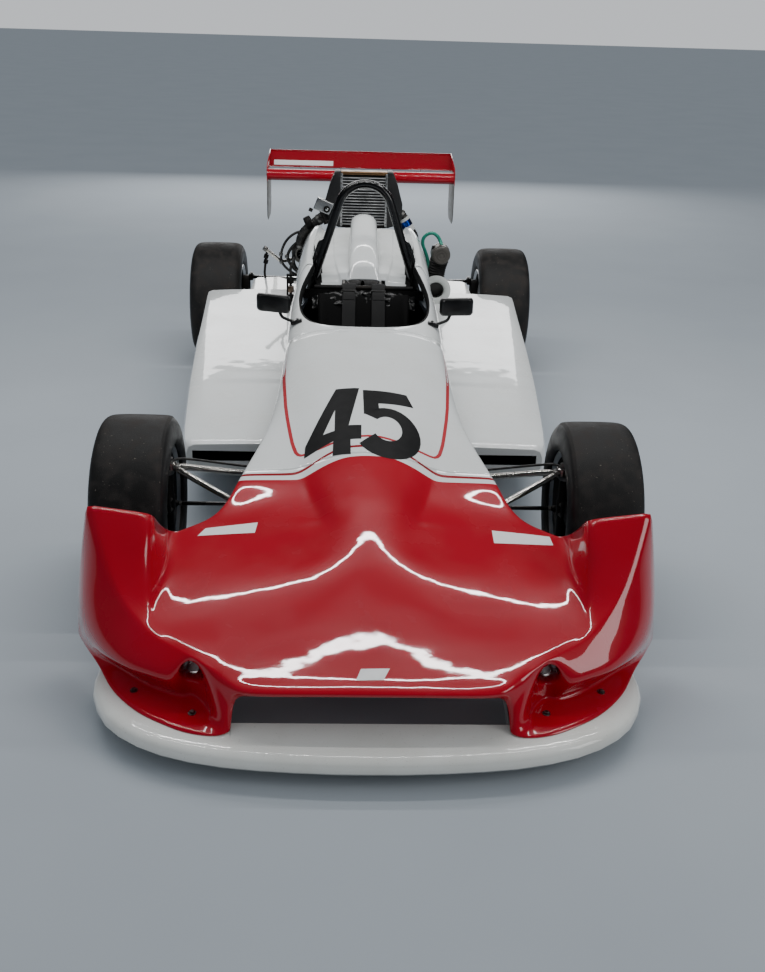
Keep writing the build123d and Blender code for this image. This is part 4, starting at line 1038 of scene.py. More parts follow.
# Tyres: wheel's end, radius, half widths outboard and inboard, half width at the beads
TYRES = (("front", 270, 107.5, 118, 92.5), ("rear", 287.5, 125, 125, 107.5))
# Section from the tread to the side. Columns: share of the half width, drop from the radius
ROUND_SHOULDER = pts("0.45 0.5, 0.68 2.2, 0.8 6, 0.885 12.5, 0.945 23, 0.978 36, 0.99 38, 0.996 41, 1 58, "
    "0.992 74, 0.972 86, 0.966 87.5, 0.955 91")
SQUARE_SHOULDER = pts("0.42 0.4, 0.7 1.4, 0.8 3, 0.825 4.2, 0.835 6.4, 0.885 10.5, 0.94 19, 0.975 31, "
    "0.992 44, 1 58, 0.99 74, 0.962 86, 0.945 91")
# Bead. Columns: distance beyond the bead's half width, height over the rim
BEAD = pts("7.5 18, 5 13, 1.5 12.2, 0.5 1")
RIM_RADIUS = 165


def tyre_half(radius, half, bead, shoulder):
    """Half profile from the tread's middle to the bead. Columns: across, radius."""
    return ([(half * share, radius - drop) for share, drop in shoulder]
        + [(bead + out, RIM_RADIUS + high) for out, high in BEAD])


def build_tyre(end, side_name):
    """Slick tyre: rounded shoulders, shoulder groove and bead band turned from one profile."""
    node = f"{end}_tyre_{side_name}"
    radius, outer, inner, bead = next(row[1:] for row in TYRES if row[0] == end)
    outside = tyre_half(radius, outer, bead, ROUND_SHOULDER)
    inside = tyre_half(radius, inner, bead, SQUARE_SHOULDER if end == "front" else ROUND_SHOULDER)
    profile = [(-a, r) for a, r in reversed(inside)] + [(0, radius)] + outside
    centre = middle_of(node)
    body = f"wheel_{end}_{side_name}"
    piece = lathe(f"{end}_tyre_{side_name}_carcass", profile, Vector((centre.x, centre.y, radius * MM)),
        (math.copysign(1, centre.x), 0, 0), "tread", 192, body=body)
    mesh = piece.data
    mesh.materials.append(M["sidewall"])
    for polygon in mesh.polygons:
        if abs(polygon.center.x - centre.x) > outer * 0.945 * MM:
            polygon.material_index = 1
    subdivided(piece, 1)
    piece.data.shade_smooth()
    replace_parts(piece, node)


# Decals laid on the panels

def tree_of(pieces):
    """One lookup tree over several pieces."""
    points, faces = [], []
    for piece in pieces:
        start = len(points)
        points += [v.co.copy() for v in piece.data.vertices]
        faces += [tuple(start + i for i in p.vertices) for p in piece.data.polygons]
    return BVHTree.FromPolygons(points, faces)


def drape(name, outlines, surface_tree, material, pitch, lift):
    """Flat outlines of x and station in mm, cut into a net and laid down on the panel."""
    net = bmesh.new()
    for outline in outlines:
        net.faces.new([net.verts.new(at(x, s, 0)) for x, s in outline])
    xs = [v.co.x for v in net.verts]
    ys = [v.co.y for v in net.verts]
    for axis, low, high in ((0, min(xs), max(xs)), (1, min(ys), max(ys))):
        cut = low + pitch * MM
        while cut < high:
            spot, normal = [0, 0, 0], [0, 0, 0]
            spot[axis], normal[axis] = cut, 1
            bmesh.ops.bisect_plane(net, geom=net.verts[:] + net.edges[:] + net.faces[:], plane_co=spot,
                plane_no=normal)
            cut += pitch * MM
    for v in net.verts:
        hit, normal, _, _ = surface_tree.ray_cast(Vector((v.co.x, v.co.y, 2)), Vector((0, 0, -1)))
        if hit is None:
            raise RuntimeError(f"{name}: nothing under {tuple(v.co)}")
        v.co = hit + (normal if normal.z > 0 else -normal) * lift * MM
    net.normal_update()
    for face in net.faces:
        if face.normal.z < 0:
            face.normal_flip()
    return new_object(name, finished(net, name), material)


def band(line, width):
    """Quads of an even width along a line of x, station points."""
    points = [Vector(p) for p in line]
    edges = []
    for i, p in enumerate(points):
        run = heading(points, i)
        out = Vector((-run.y, run.x)) * width / 2
        edges.append((p + out, p - out))
    return [[a[0], b[0], b[1], a[1]] for a, b in zip(edges, edges[1:])]


# Bolts through the nose's flanges: x, station
NOSE_BOLTS = pts("-594 -773, -436 -869, 593 -764, 436 -861")


def place_bolts(surface_tree):
    """Washered bolts that stand square on the panel under each spot."""
    parts = Kit()
    for x, station in NOSE_BOLTS:
        hit, normal, _, _ = surface_tree.ray_cast(at(x, station, 125), Vector((0, 0, -1)))
        normal = normal if normal.z > 0 else -normal
        parts.bolt(hit + normal * 0.0002, normal, 6.5)
    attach(joined("nose_bolts", parts), BODY)


# Race number, outlines in x and station: a slanted 4 and the flag, stem and bowl of a 5
FOUR = (pts("-108 -36, -53 -43, -54 37, -107 42"), pts("-107 42, -54 37, -60 120, -104 100"),
    pts("-104 100, -60 120, -38 362, -104 228"), ((-60, 120), (-26, 360), (-38, 362)),
    ((-104, 228), (-38, 362), (-103, 364)), pts("-139 93, -104 228, -103 364, -194 58"),
    pts("-195 0, -107 42, -104 100, -139 93, -194 58"), pts("-54 37, -21 35, -20 117, -60 120"))
FIVE_FLAG = pts("36 258, 150 268, 130 340, -14 347")
FIVE_STEM = pts("-12 186, 38 206, 36 258, -14 347")
# Bowl: centre x and station, half width and half height, outside then inside
FIVE_BOWL = ((62, 85, 103, 147), (62, 104, 45, 72))
FIVE_BOWL_TURN = (135, -150)


def digit_five():
    steps = 28
    outer, inner = ([(cx + rx * math.cos(turn), cs + rs * math.sin(turn))
        for turn in (math.radians(FIVE_BOWL_TURN[0] + (FIVE_BOWL_TURN[1] - FIVE_BOWL_TURN[0]) * i / steps)
        for i in range(steps + 1))] for cx, cs, rx, rs in FIVE_BOWL)
    bowl = [[a, b, c, d] for a, b, c, d in zip(outer, outer[1:], inner[1:], inner)]
    return [FIVE_FLAG, FIVE_STEM] + bowl


# Line round the scuttle: x and station of its left half, from the mirror to the middle
FRAME_LINE = pts("291 815, 288 640, 284 540, 277 450, 269 350, 259 262, 245 162, 236 104, 229 72, 222 44, "
    "214 29, 204 21, 190 20, 172 22, 141 25, 114 31, 80 40, 40 49, 0 52")


# Blank sticker plates: outlines in x and station
STICKERS = (pts("-480 -340, -320 -338, -316 -282, -462 -300"), pts("349 -373, 518 -362, 515 -314, "
    "350 -306"), pts("-38 -902, 28 -900, 44 -866, -26 -868"))


def build_decals(pieces):
    skins = tree_of(pieces)
    place_bolts(skins)
    line = [(-x, s) for x, s in FRAME_LINE] + [(x, s) for x, s in reversed(FRAME_LINE[:-1])]
    drape("scuttle_pinstripe", band(line, 11), skins, "pin", 14, 0.35)
    drape("race_number_first", FOUR, skins, "number", 10, 0.6)
    drape("race_number_second", digit_five(), skins, "number", 10, 0.6)
    for i, outline in enumerate(STICKERS):
        drape(f"blank_sticker_{i + 1}", [outline], skins, "sticker", 10, 0.5)


# Studio

LENS = {"focal": 41.436, "height": 36.0, "place": (-0.0783, -3.1709, 1.6994), "yaw": 2.2599,
    "pitch": 23.2793, "roll": 1.7385}
FLOOR_COLOUR = "#a6acb1"


def build_camera():
    data = bpy.data.cameras.new("camera")
    data.sensor_fit = "VERTICAL"
    data.sensor_height = LENS["height"]
    data.lens = LENS["focal"]
    data.clip_end = 200
    camera = linked("camera", data)
    yaw, pitch, roll = (math.radians(LENS[k]) for k in ("yaw", "pitch", "roll"))
    ahead = Vector((math.sin(yaw) * math.cos(pitch), math.cos(yaw) * math.cos(pitch), -math.sin(pitch)))
    right = Vector((math.cos(yaw), -math.sin(yaw), 0))
    up = right.cross(ahead)
    right, up = (right * math.cos(roll) + up * math.sin(roll), up * math.cos(roll) - right * math.sin(roll))
    x, y, z = LENS["place"]
    camera.matrix_world = Matrix(((right.x, up.x, -ahead.x, x), (right.y, up.y, -ahead.y, y + AXLE_Y),
        (right.z, up.z, -ahead.z, z), (0, 0, 0, 1)))
    bpy.context.scene.camera = camera


def build_floor():
    mesh = mesh_of("floor", [(-60, -60, 0), (60, -60, 0), (60, 60, 0), (-60, 60, 0)], [(0, 1, 2, 3)])
    floor = linked("floor", mesh)
    look = Look("polished pale floor paint", FLOOR_COLOUR, Specular_IOR_Level=0.0)
    haze = look.noise(600, 0.35, 0.7)
    look.feed(Base_Color=look.mix(FLOOR_COLOUR, "#999fa5", haze, 0.25),
        Roughness=look.scaled(haze, 0.1, 0.3))
    mesh.materials.append(look.material)


# World colour that lights surfaces, that gloss mirrors, and that the camera sees
WORLD_SOFT, WORLD_MIRRORED, WORLD_SEEN = "#bbc0c6", "#303336", "#d6d9dd"
# Lamps. Columns: name, place, aim, width and depth in metres, watts
SOFT_BOXES = (("door", (0.0, 7.5, 2.2), (0, 0, 0.6), (5.0, 2.6), 165),
    ("front_left", (4.2, -3.6, 2.8), (0, -0.6, 0.2), (1.6, 2.2), 50),
    ("tube_near", (0.0, -0.70, 3.2), (0, -0.70, 0), (4.2, 0.045), 36),
    ("tube_far", (0.0, 0.42, 3.2), (0, 0.42, 0), (4.2, 0.06), 50))


def build_lights():
    """Soft boxes over and beside the car, and two long ceiling tubes."""
    world = bpy.data.worlds.new("studio")
    bpy.context.scene.world = world
    world.use_nodes = True
    tree = world.node_tree
    back = tree.nodes["Background"]
    seen = add_node(tree, "ShaderNodeLightPath")
    mirror = mixed(tree, seen.outputs["Is Glossy Ray"], WORLD_SOFT, WORLD_MIRRORED)
    tree.links.new(mixed(tree, seen.outputs["Is Camera Ray"], mirror, WORLD_SEEN), back.inputs["Color"])
    back.inputs["Strength"].default_value = 1.0
    for name, spot, aim, size, power in SOFT_BOXES:
        data = bpy.data.lights.new(name, "AREA")
        data.shape = "RECTANGLE"
        data.size, data.size_y = size
        data.energy = power
        lamp = linked(name, data)
        lamp.location = spot
        lamp.rotation_euler = (Vector(aim) - Vector(spot)).to_track_quat("-Z", "Y").to_euler()


# Roll hoop, mirrors, wing and cooler

# Hoop: top of the centre line, bend radius, lean in degrees, station, tube radius, foot z
HOOP_TOP, HOOP_BEND, HOOP_LEAN, HOOP_STATION, HOOP_TUBE, HOOP_FOOT = 1026, 111, 18, 1500, 17.5, 566


def hoop_half(foot, steps=18):
    """Centre line of the left half from the top down, as x and z in mm."""
    lean = math.radians(HOOP_LEAN)
    z0 = HOOP_TOP - HOOP_BEND
    turns = (math.pi / 2 + (lean - math.pi / 2) * k / steps for k in range(steps + 1))
    half = [(HOOP_BEND * math.cos(t), z0 + HOOP_BEND * math.sin(t)) for t in turns]
    x, z = half[-1]
    return half + [(x + (z - foot) * math.tan(lean), foot)]


def build_hoop():
    half = hoop_half(HOOP_FOOT)
    line = [at(-x, HOOP_STATION, z) for x, z in reversed(half)]
    line += [at(x, HOOP_STATION, z) for x, z in half[1:]]
    pieces = Kit()
    pieces.tube("roll_hoop_tube", line, HOOP_TUBE, "hoop")
    foot_x = half[-1][0]
    lean = math.tan(math.radians(HOOP_LEAN))
    for _, side in SIDES:
        x = side * foot_x
        pieces.slab("roll_hoop_foot", at(x - 27, HOOP_STATION - 27, HOOP_FOOT - 6),
            at(x + 27, HOOP_STATION + 27, HOOP_FOOT + 4), "hoop", bevel=1.5)
        strip = []
        for z, out in pts("686 12, 693 24, 707 35, 779 34, 793 29, 802 12"):
            strip.append(at(side * (foot_x - (z - HOOP_FOOT) * lean + out), HOOP_STATION, z))
        pieces.prism("roll_hoop_strip", strip, Vector((0, 0.034, 0)), "hoop", bevel=2)
    hoop = joined("roll_hoop_tube", pieces)
    mark_sharp(hoop.data, 40)
    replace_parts(hoop, "roll_hoop")


# Mirror on the left: middle of the housing, half sizes, stalk points, foot
MIRROR = {"middle": (348, 1000, 649), "half": (64, 17, 33), "roll": {"left": 2, "right": 5},
    "stalk": pts("330 1000 630, 322 1000 612, 318 996 602, 308 990 595, 262 978 583"),
    "foot": (262, 978, 581)}


def build_mirror(side, name):
    """Black shell with a glass in its rearward face, on a bent stalk with a wedge foot."""
    cx, cy, cz = MIRROR["middle"]
    wide, deep, high = MIRROR["half"]
    roll = math.tan(math.radians(MIRROR["roll"][name])) * side
    net = bmesh.new()
    rings = []
    # Columns: station offset, share of the outline, corner radius
    for y, share, corner in pts("-1.0 0.72 20, -0.82 0.9 18, -0.35 0.98 15, 0.5 1.0 14, 0.92 1.0 14, "
        "1.0 0.985 13, 1.0 0.93 12, 0.8 0.92 12"):
        ring = []
        w, h = wide * share, high * share
        for c, s in circle(32, 0.5):
            x = math.copysign(w - corner, c) + corner * c
            z = math.copysign(h - corner, s) + corner * s
            ring.append(net.verts.new(at(side * cx + x, cy + y * deep, cz + z + roll * x)))
        rings.append(ring)
    for a, b in zip(rings, rings[1:]):
        for k in range(32):
            net.faces.new((a[k], a[(k + 1) % 32], b[(k + 1) % 32], b[k]))
    net.faces.new(rings[0])
    net.faces.new(rings[-1]).material_index = 1
    bmesh.ops.recalc_face_normals(net, faces=net.faces)
    mesh = finished(net, "mirror")
    shell = new_object("mirror_shell", mesh, "mirror_shell")
    mesh.materials.append(M["glass"])
    mark_sharp(mesh, 35)
    stalk = tube("mirror_stalk", [at(side * x, y, z) for x, y, z in MIRROR["stalk"]], 6, "mirror_shell",
        smooth_route=True)
    fx, fy, fz = MIRROR["foot"]
    outline = [at(side * (fx + x), fy + y, fz + z) for x, y, z in pts("-24 -14 8, 16 -14 -8, 20 -14 4, "
        "2 -14 14, -20 -14 16")]
    foot = prism("mirror_foot", outline, Vector((0, 0.028, 0)), "mirror_shell", bevel=2)
    nut = lathe("mirror_nut", pts("-3 0, -3 5, 3 5, 3 0"), at(side * (fx - 6), fy, fz + 17), (0, 0, 1),
        "steel", steps=6)
    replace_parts(joined(f"mirror_{name}_shell", [shell, stalk, foot, nut]), f"mirror_{name}")


# Wing. Columns of a profile: run rearward and height from the leading edge, in mm
WING_SPAN = 500
WING_LEAD = (2985, 845)
WING_TOP = pts("0 0, 1 9, 5 18, 14 26, 28 30, 50 30, 90 24, 140 14, 190 5, 213 1")
WING_UNDER = pts("190 -6, 140 -17, 90 -26, 50 -30, 28 -29, 14 -24, 5 -16, 1 -8")
FLAP_LEAD = (3192, 864)
FLAP_ANGLE = 37
FLAP_TOP = pts("0 0, 3 5, 12 7, 40 6, 80 2, 122 -1")
FLAP_UNDER = pts("122 -4, 80 -3, 40 -1, 12 -3, 3 -4")


def profile_at(lead, cells, angle=0.0):
    run, rise = math.cos(math.radians(angle)), math.sin(math.radians(angle))
    return [(lead[0] + a * run - b * rise, lead[1] + a * rise + b * run) for a, b in cells]


def build_wing():
    """Thick main plane, steep thin flap with a turned up lip, and end plates with fins."""
    pieces = Kit()
    for name, lead, cells, angle, material in (("rear_wing_plane", WING_LEAD, WING_TOP + WING_UNDER, 0,
        "red"), ("rear_wing_flap", FLAP_LEAD, FLAP_TOP + FLAP_UNDER, FLAP_ANGLE, "red_flap")):
        outline = [at(-WING_SPAN, s, z) for s, z in profile_at(lead, cells, angle)]
        pieces.prism(name, outline, Vector((2 * WING_SPAN * MM, 0, 0)), material)
    top = profile_at(FLAP_LEAD, ((121, -1),), FLAP_ANGLE)[0]
    pieces.slab("rear_wing_lip", at(-WING_SPAN, top[0] - 2, top[1] - 2),
        at(WING_SPAN, top[0] + 2, top[1] + 9), "red_flap", bevel=1)
    # Pale strip on part of the flap's front: a painted reflection, in the stickers' white vinyl.
    patch = profile_at(FLAP_LEAD, pts("7 7.5, 45 6, 45 7, 7 8.5"), FLAP_ANGLE)
    pieces.prism("rear_wing_patch", [at(-478, s, z) for s, z in patch], Vector((0.325, 0, 0)), "sticker")
    for x in (-330, -110, 110, 330):
        station, z = profile_at(WING_LEAD, ((196, -2),))[0]
        pieces.slab("rear_wing_bracket", at(x - 2, station - 20, z - 4), at(x + 2, station + 16, z + 26),
            "alloy", bevel=1)
    wing = joined("rear_wing_planes", pieces)
    mark_sharp(wing.data, 38)
    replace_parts(wing, "rear_wing")
    plates = Kit()
    back = 3290
    for _, side in SIDES:
        x = side * WING_SPAN
        upper = ((2980, 815), (2980, 876), (3012, 900), (3262, 946), (back, 946), (back, 815))
        fin = ((2984, 815), (2984, 662), (3000, 622), (3040, 602), (3210, 602), (3262, 618),
            (back - 4, 662), (back - 4, 815))
        for part, outline, material in (("plate", upper, "red"), ("fin", fin, "fin")):
            plates.prism(f"endplates_{part}", [at(x, s, z) for s, z in outline],
                Vector((side * 0.004, 0, 0)), material, bevel=0.8, segments=2)
        for s, z in pts("3000 845, 3060 845, 3130 843, 3212 880, 3262 917"):
            plates.lathe("endplates_screw", pts("0 0, 0 6, 2.2 5, 3.2 2, 3.2 0"), at(x + side * 4, s, z),
                (side, 0, 0), "steel", steps=16)
    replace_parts(joined("endplates_skins", plates), "endplates")


# Cooler behind the cover: station, lower and upper z, half width, slats
COOLER = (1916, 772, 1017, 104)
COOLER_SLATS = 17


def build_cooler():
    """Louvred core between two tanks, in black side shrouds, on two legs."""
    station, low, high, half = COOLER
    pieces = Kit()
    pitch = (high - low - 30) / COOLER_SLATS
    for i in range(COOLER_SLATS):
        z = low + 12 + (i + 0.5) * pitch
        outline = [at(-half + 6, station + s, z + h) for s, h in pts("0 -3.4, 1.5 0.6, 16 4.2, 17 2.6, "
            "4 -1.2, 1.8 -3.6")]
        pieces.prism("slat", outline, Vector((2 * (half - 6) * MM, 0, 0)), "slat")
    # Near black core behind the slats: painted shade in the gaps between them.
    pieces.slab("core", at(-half + 4, station + 26, low + 8), at(half - 4, station + 62, high - 8), "core",
        bevel=1)
    for x in (-half + 4, half - 4):
        pieces.slab("rail", at(x - 5, station - 1, low + 6), at(x + 5, station + 30, high - 6), "slat",
            bevel=1)
        for i in range(0, COOLER_SLATS, 2):
            z = low + 12 + (i + 0.5) * pitch
            pieces.lathe("rivet", pts("0 0, 0 3.4, 1.6 2.4, 2.2 0"), at(x, station - 1, z), (0, -1, 0),
                "steel", steps=12)
    pieces.slab("top_tank", at(-half, station + 2, high - 13), at(half, station + 64, high), "bronze",
        bevel=4, segments=3)
    pieces.slab("low_tank", at(-half, station + 2, low), at(half, station + 64, low + 13), "black_cast",
        bevel=4, segments=3)
    for _, side in SIDES:
        outline = ((half, low), (half, high + 1), (128, high + 1), (151, 962), (174, 880), (172, 812),
            (150, 786))
        face = [at(side * x, station - 4, z) for x, z in outline]
        pieces.prism("shroud", face, Vector((0, 0.078, 0)), "shroud", bevel=5)
        pieces.slab("leg", at(side * half * 0.63, station + 30, 556),
            at(side * half * 0.77, station + 58, low + 4), "black_cast", bevel=2)
    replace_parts(joined("intercooler_body", pieces), "intercooler")


# Cockpit: trim, seat, loose sheet, harness, dash and steering wheel

def smooth_line(points, steps=6):
    """Points along a smooth curve through the given ones."""
    points = [Vector(p) for p in points]
    out = []
    for i in range(len(points) - 1):
        a, b = points[i], points[i + 1]
        before = points[i - 1] if i else a * 2 - b
        after = points[i + 2] if i + 2 < len(points) else b * 2 - a
        for k in range(steps):
            t = k / steps
            out.append((a * 2 + (b - before) * t + (before * 2 - a * 5 + b * 4 - after) * t * t
                + (a * 3 - before - b * 3 + after) * t ** 3) / 2)
    return out + [points[-1]]


def ribbon(name, route, across, wide, thick, material, body=BODY):
    """Flat strap along a smooth line; across is the direction of its width."""
    line = smooth_line(route)
    across = Vector(across).normalized()
    rows = []
    for i, p in enumerate(line):
        along = heading(line, i)
        up = across.cross(along).normalized() * thick * MM / 2
        half, rim = across * wide * MM / 2, across * thick * MM * 0.4
        rows.append([p - half + rim + up, p - half * 0.5 + up * 1.15, p + half * 0.5 + up * 1.15,
            p + half - rim + up, p + half, p + half - rim - up, p - half + rim - up, p - half])
    count = len(rows[0])
    faces = grid_faces(len(rows), count, True)
    faces += [tuple(range(count)), tuple(range(len(rows) * count - 1, len(rows) * count - 1 - count, -1))]
    return new_object(name, mesh_of(name, [p for row in rows for p in row], faces), material, body)


# Seat's centre line: station, z, height of the side bolsters
SEAT_LINE = pts("1014 190 34, 1020 158 50, 1060 128 66, 1120 112 74, 1172 112 80, 1206 138 88, 1246 212 92, "
    "1300 330 84, 1350 436 66, 1394 524 42, 1420 566 20, 1436 582 6")
# Seat across. Columns: x, share of the bolster's height
SEAT_ACROSS = pts("0 0, 60 0.02, 118 0.08, 146 0.34, 162 0.8, 174 1, 186 0.86, 189 0.3")
# Columns: station, z of the trim's upper edge in the tub
TRIM_ROWS = pts("858 500, 930 540, 1050 548, 1200 552, 1330 554, 1450 554")
HARNESS_BAR = (1462, 606)
BELT_LINE = pts("1476 560, 1478 600, 1466 622, 1449 612, 1436 596, 1404 562, 1352 466, 1300 356, 1252 250, "
    "1214 164, 1190 136")
SHEET_LINE = pts("1466 588, 1456 597, 1444 598, 1430 588, 1416 572, 1402 552")
SHEET_HALF = 214


def seat_frame():
    """Points and upward directions along the seat's centre line."""
    line = [Vector((s, z)) for s, z, _ in SEAT_LINE]
    frames = []
    for i, p in enumerate(line):
        along = heading(line, i)
        frames.append((p, Vector((-along.y, along.x))))
    return frames


def build_seat():
    """Bucket seat with raised side bolsters, black trimmed."""
    rows = []
    for (p, up), (_, _, height) in zip(seat_frame(), SEAT_LINE):
        row = []
        for x, share in SEAT_ACROSS:
            q = p + up * (height * share + 4)
            row.append(at(x, q.x, q.y))
        rows.append(row)
    seat = skin("seat_bucket", rows, "suede", 9, 2, (("row", 0, 0.6), ("row", -1, 0.4)))
    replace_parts(seat, "seat")


def build_trim():
    """Black lining of the tub round the driver."""
    rows = []
    for station, top in TRIM_ROWS:
        row = [(0, 90), (150, 90), (228, 92), (247, 108), (252, 150), (252, 300), (252, top - 20),
            (252, top)]
        rows.append([at(x, station, z) for x, z in row])
    trim = skin("tub_trim", rows, "interior", 2, 2, (("column", 3, 0.5), ("row", 0, 1.0), ("row", -1, 1.0)))
    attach(trim, BODY)
    slab("tub_back_trim", at(-252, 1452, 88), at(252, 1458, 600), "interior")


def crumple(p, size, seed):
    """Height of sharp folds at a point, from 0 to 1."""
    total = 0
    for octave, share in ((1, 0.62), (2.3, 0.27), (5.1, 0.11)):
        total += share * abs(noise.noise((p * octave / (size * MM)) + Vector((seed, 3.7, 9.1))))
    return total


def build_sheet():
    """Crumpled black film laid over the seat's back."""
    line = smooth_line([at(0, s, z) for s, z in SHEET_LINE], 8)
    columns = 110
    rows = []
    for i, p in enumerate(line):
        along = heading(line, i)
        up = along.cross(Vector((1, 0, 0))).normalized()
        if up.z < 0:
            up = -up
        row = []
        for k in range(columns):
            x = SHEET_HALF * (2 * k / (columns - 1) - 1)
            base = p + Vector((x * MM, 0, 0))
            lift = crumple(base, 34, 1.5) * 20 - 2
            sag = 10 * math.cos(math.pi * x / SHEET_HALF) * i / len(line)
            row.append(base + up * (lift - sag) * MM + Vector((0, 0, -0.03 * (x / SHEET_HALF) ** 2)))
        rows.append(row)
    mesh = mesh_of("film", [p for row in rows for p in row], grid_faces(len(rows), columns))
    film_piece = new_object("seat_film", mesh, "film")


def build_harness():
    """Two shoulder straps over a bar, lap straps, their slides and the buckle."""
    pieces = Kit()
    tube("harness_bar", [at(-206, *HARNESS_BAR), at(206, *HARNESS_BAR)], 11, "black_cast")
    for x in (-61, 61):
        route = [at(x * (1 - max(0, i - 6) * 0.12), s, z) for i, (s, z) in enumerate(BELT_LINE)]
        pieces.ribbon("strap", route, (1, 0, 0), 54, 2.4, "webbing")
        s, z = BELT_LINE[4]
        fold = [at(x, s - 5, z + 4), at(x, s - 16, z - 8), at(x, s - 28, z - 26)]
        pieces.ribbon("strap_fold", fold, (1, 0, 0), 50, 4.5, "webbing")
        pieces.slab("slide", at(x - 31, s - 10, z + 2), at(x + 31, s + 2, z + 8), "steel", bevel=2)
    for side in (-1, 1):
        lap = [at(side * 176, 1236, 176), at(side * 150, 1222, 160), at(side * 96, 1200, 150),
            at(side * 30, 1184, 148)]
        pieces.ribbon("lap", lap, (0, 0.5, 1), 50, 2.4, "webbing")
    pieces.lathe("buckle", pts("0 0, 0 30, 8 30, 12 24, 12 0"), at(0, 1186, 142), (0, -0.3, 1), "steel",
        steps=40)
    belts = joined("belts_webbing", pieces)
    mark_sharp(belts.data, 40)
    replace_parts(belts, "belts")


WHEEL_AXIS = ((0, 100, 221), (0, 935, 445))


def build_controls():
    """Dash panel with round dials and switches, and a small suede wheel on its column."""
    pieces = Kit()
    pieces.slab("dash_panel", at(-238, 800, 330), at(238, 808, 498), "interior", bevel=3)
    for x, z, r in pts("-62 424 40, 62 424 40, -150 410 26, 150 410 26, 0 468 17, -112 466 17, 112 466 17"):
        pieces.lathe("dial", ((-3, r), (-9, r), (-10, r - 3), (-6, r - 5), (-5, r - 6)), at(x, 800, z),
            (0, -1, 0), "alloy", steps=40)
        pieces.lathe("dial_face", ((9, r), (6, r - 1), (3, r - 5), (3, 0)), at(x, 808, z), (0, 1, 0),
            "steel", steps=40)
        pieces.lathe("dial_card", ((4, r - 5), (4, 0)), at(x, 808, z), (0, 1, 0), "interior", steps=40)
    for x in (-190, -172, 172, 190):
        pieces.lathe("switch", pts("0 0, 0 6, 5 5, 5 2, 18 2.4, 19 0"), at(x, 808, 468), (0, 1, 0), "steel",
            steps=20)
    foot, head = (at(*p) for p in WHEEL_AXIS)
    run = (head - foot).normalized()
    bush = foot + run * ((at(0, 804, 0).y - foot.y) / run.y)
    pieces.lathe("bush", pts("-16 9.4, -16 16, -12 18, 12 18, 16 16, 16 9.4"), bush, run, "cast", steps=40)
    dash = joined("dash_panel", pieces)
    mark_sharp(dash.data, 40)
    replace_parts(dash, "dash")

    down = run.cross(Vector((1, 0, 0))).normalized()
    ring = [(12 * math.sin(t) * 0.9, 118 + 12 * math.cos(t)) for t in (2 * math.pi * k / 20
        for k in range(21))]
    parts = Kit("steering")
    parts.lathe("grip", ring, head, run, "suede", steps=96)
    for way in (Vector((1, 0, 0)), Vector((-1, 0, 0)), down):
        wide = run.cross(way)
        outline = []
        for r, half in pts("22 15, 60 9, 110 12, 110 -12, 60 -9, 22 -15"):
            outline.append(head + way * r * MM + wide * half * MM)
        parts.prism("spoke", [p - run * 0.0022 for p in outline], run * 0.0044, "alloy", bevel=1)
    parts.lathe("boss", pts("-12 0, -12 24, -8 26, 8 26, 12 22, 12 0"), head, run, "black_cast", steps=48)
    parts.lathe("column", ((30, 9), (30, 0)), foot, run, "plated", steps=32)
    reach = (head - foot).length / MM
    parts.lathe("column", ((30, 9), (reach, 9)), foot, run, "plated", steps=32)
    for c, s in circle(6):
        spot = head + (Vector((1, 0, 0)) * c + down * s) * 0.018
        parts.lathe("bolt", ((12, 3.5), (15, 3.5), (15, 0)), spot, run, "steel", steps=6)
    wheel = joined("steering_wheel_suede", parts)
    mark_sharp(wheel.data, 40)
    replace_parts(wheel, "steering_wheel")


def build_cockpit():
    build_seat()
    build_trim()
    build_sheet()
    build_harness()
    build_controls()


# Rims, brakes and front suspension

def sweep(name, line, radii, material, around=16, body=BODY):
    """Round piece along a line of points in metres whose radius in mm changes point by point."""
    line = [Vector(p) for p in line]
    along = [heading(line, i) for i in range(len(line))]
    up = along[0].orthogonal().normalized()
    points = []
    for p, way, radius in zip(line, along, radii):
        up = (up - way * up.dot(way)).normalized()
        out = way.cross(up)
        points += [p + (up * c + out * s) * radius * MM for c, s in circle(around)]
    faces = grid_faces(len(line), around, True) + caps(len(line), around)
    piece = new_object(name, mesh_of(name, points, faces), material, body)
    mark_sharp(piece.data, 50)
    return piece


def bolt(centre, axis, size, material="steel", tall=0.6, washer=True, body=BODY):
    """Hexagon head of a given half size in mm on its washer."""
    axis = Vector(axis).normalized()
    parts = Kit(body)
    if washer:
        parts.lathe("washer", ((0, 0), (0, size * 1.55), (size * 0.25, size * 1.55), (size * 0.25, 0)),
            centre, axis, material, 24)
    head = ((0, size), (size * tall * 1.5, size), (size * tall * 1.8, size * 0.8), (size * tall * 1.8, 0))
    parts.lathe("head", head, centre, axis, material, 6)
    for part in parts:
        mark_sharp(part.data, 20)
    return parts


def rod(a, b, radius, material, ball=0, lock=0, ball_material="steel", body=BODY):
    """Straight tube between two points with a ball joint and a lock nut at its ends."""
    a, b = Vector(a), Vector(b)
    run = b - a
    length, run = run.length / MM, run.normalized()
    lead = ball * 1.6
    parts = Kit(body)
    parts.lathe("rod", ((lead, 0), (lead, radius * 0.75), (lead + 7, radius), (length - lead - 7, radius),
        (length - lead, radius * 0.75), (length - lead, 0)), a, run, material, 24)
    for end, way in ((a, run), (b, -run)) if ball else ():
        parts.lathe("eye", [(ball * 0.9 * math.sin(t), ball * math.cos(t))
            for t in (math.pi * (k / 12 - 0.5) for k in range(13))], end, way.orthogonal(), ball_material,
            24)
        parts.lathe("shank", ((0, 0), (0, radius * 0.55), (lead + 3, radius * 0.55), (lead + 3, 0)), end,
            way, "steel", 16)
        if lock:
            parts.lathe("lock", ((lead - lock, 0), (lead - lock, radius * 1.15), (lead, radius * 1.15),
                (lead, 0)), end, way, "steel", 6)
    return parts


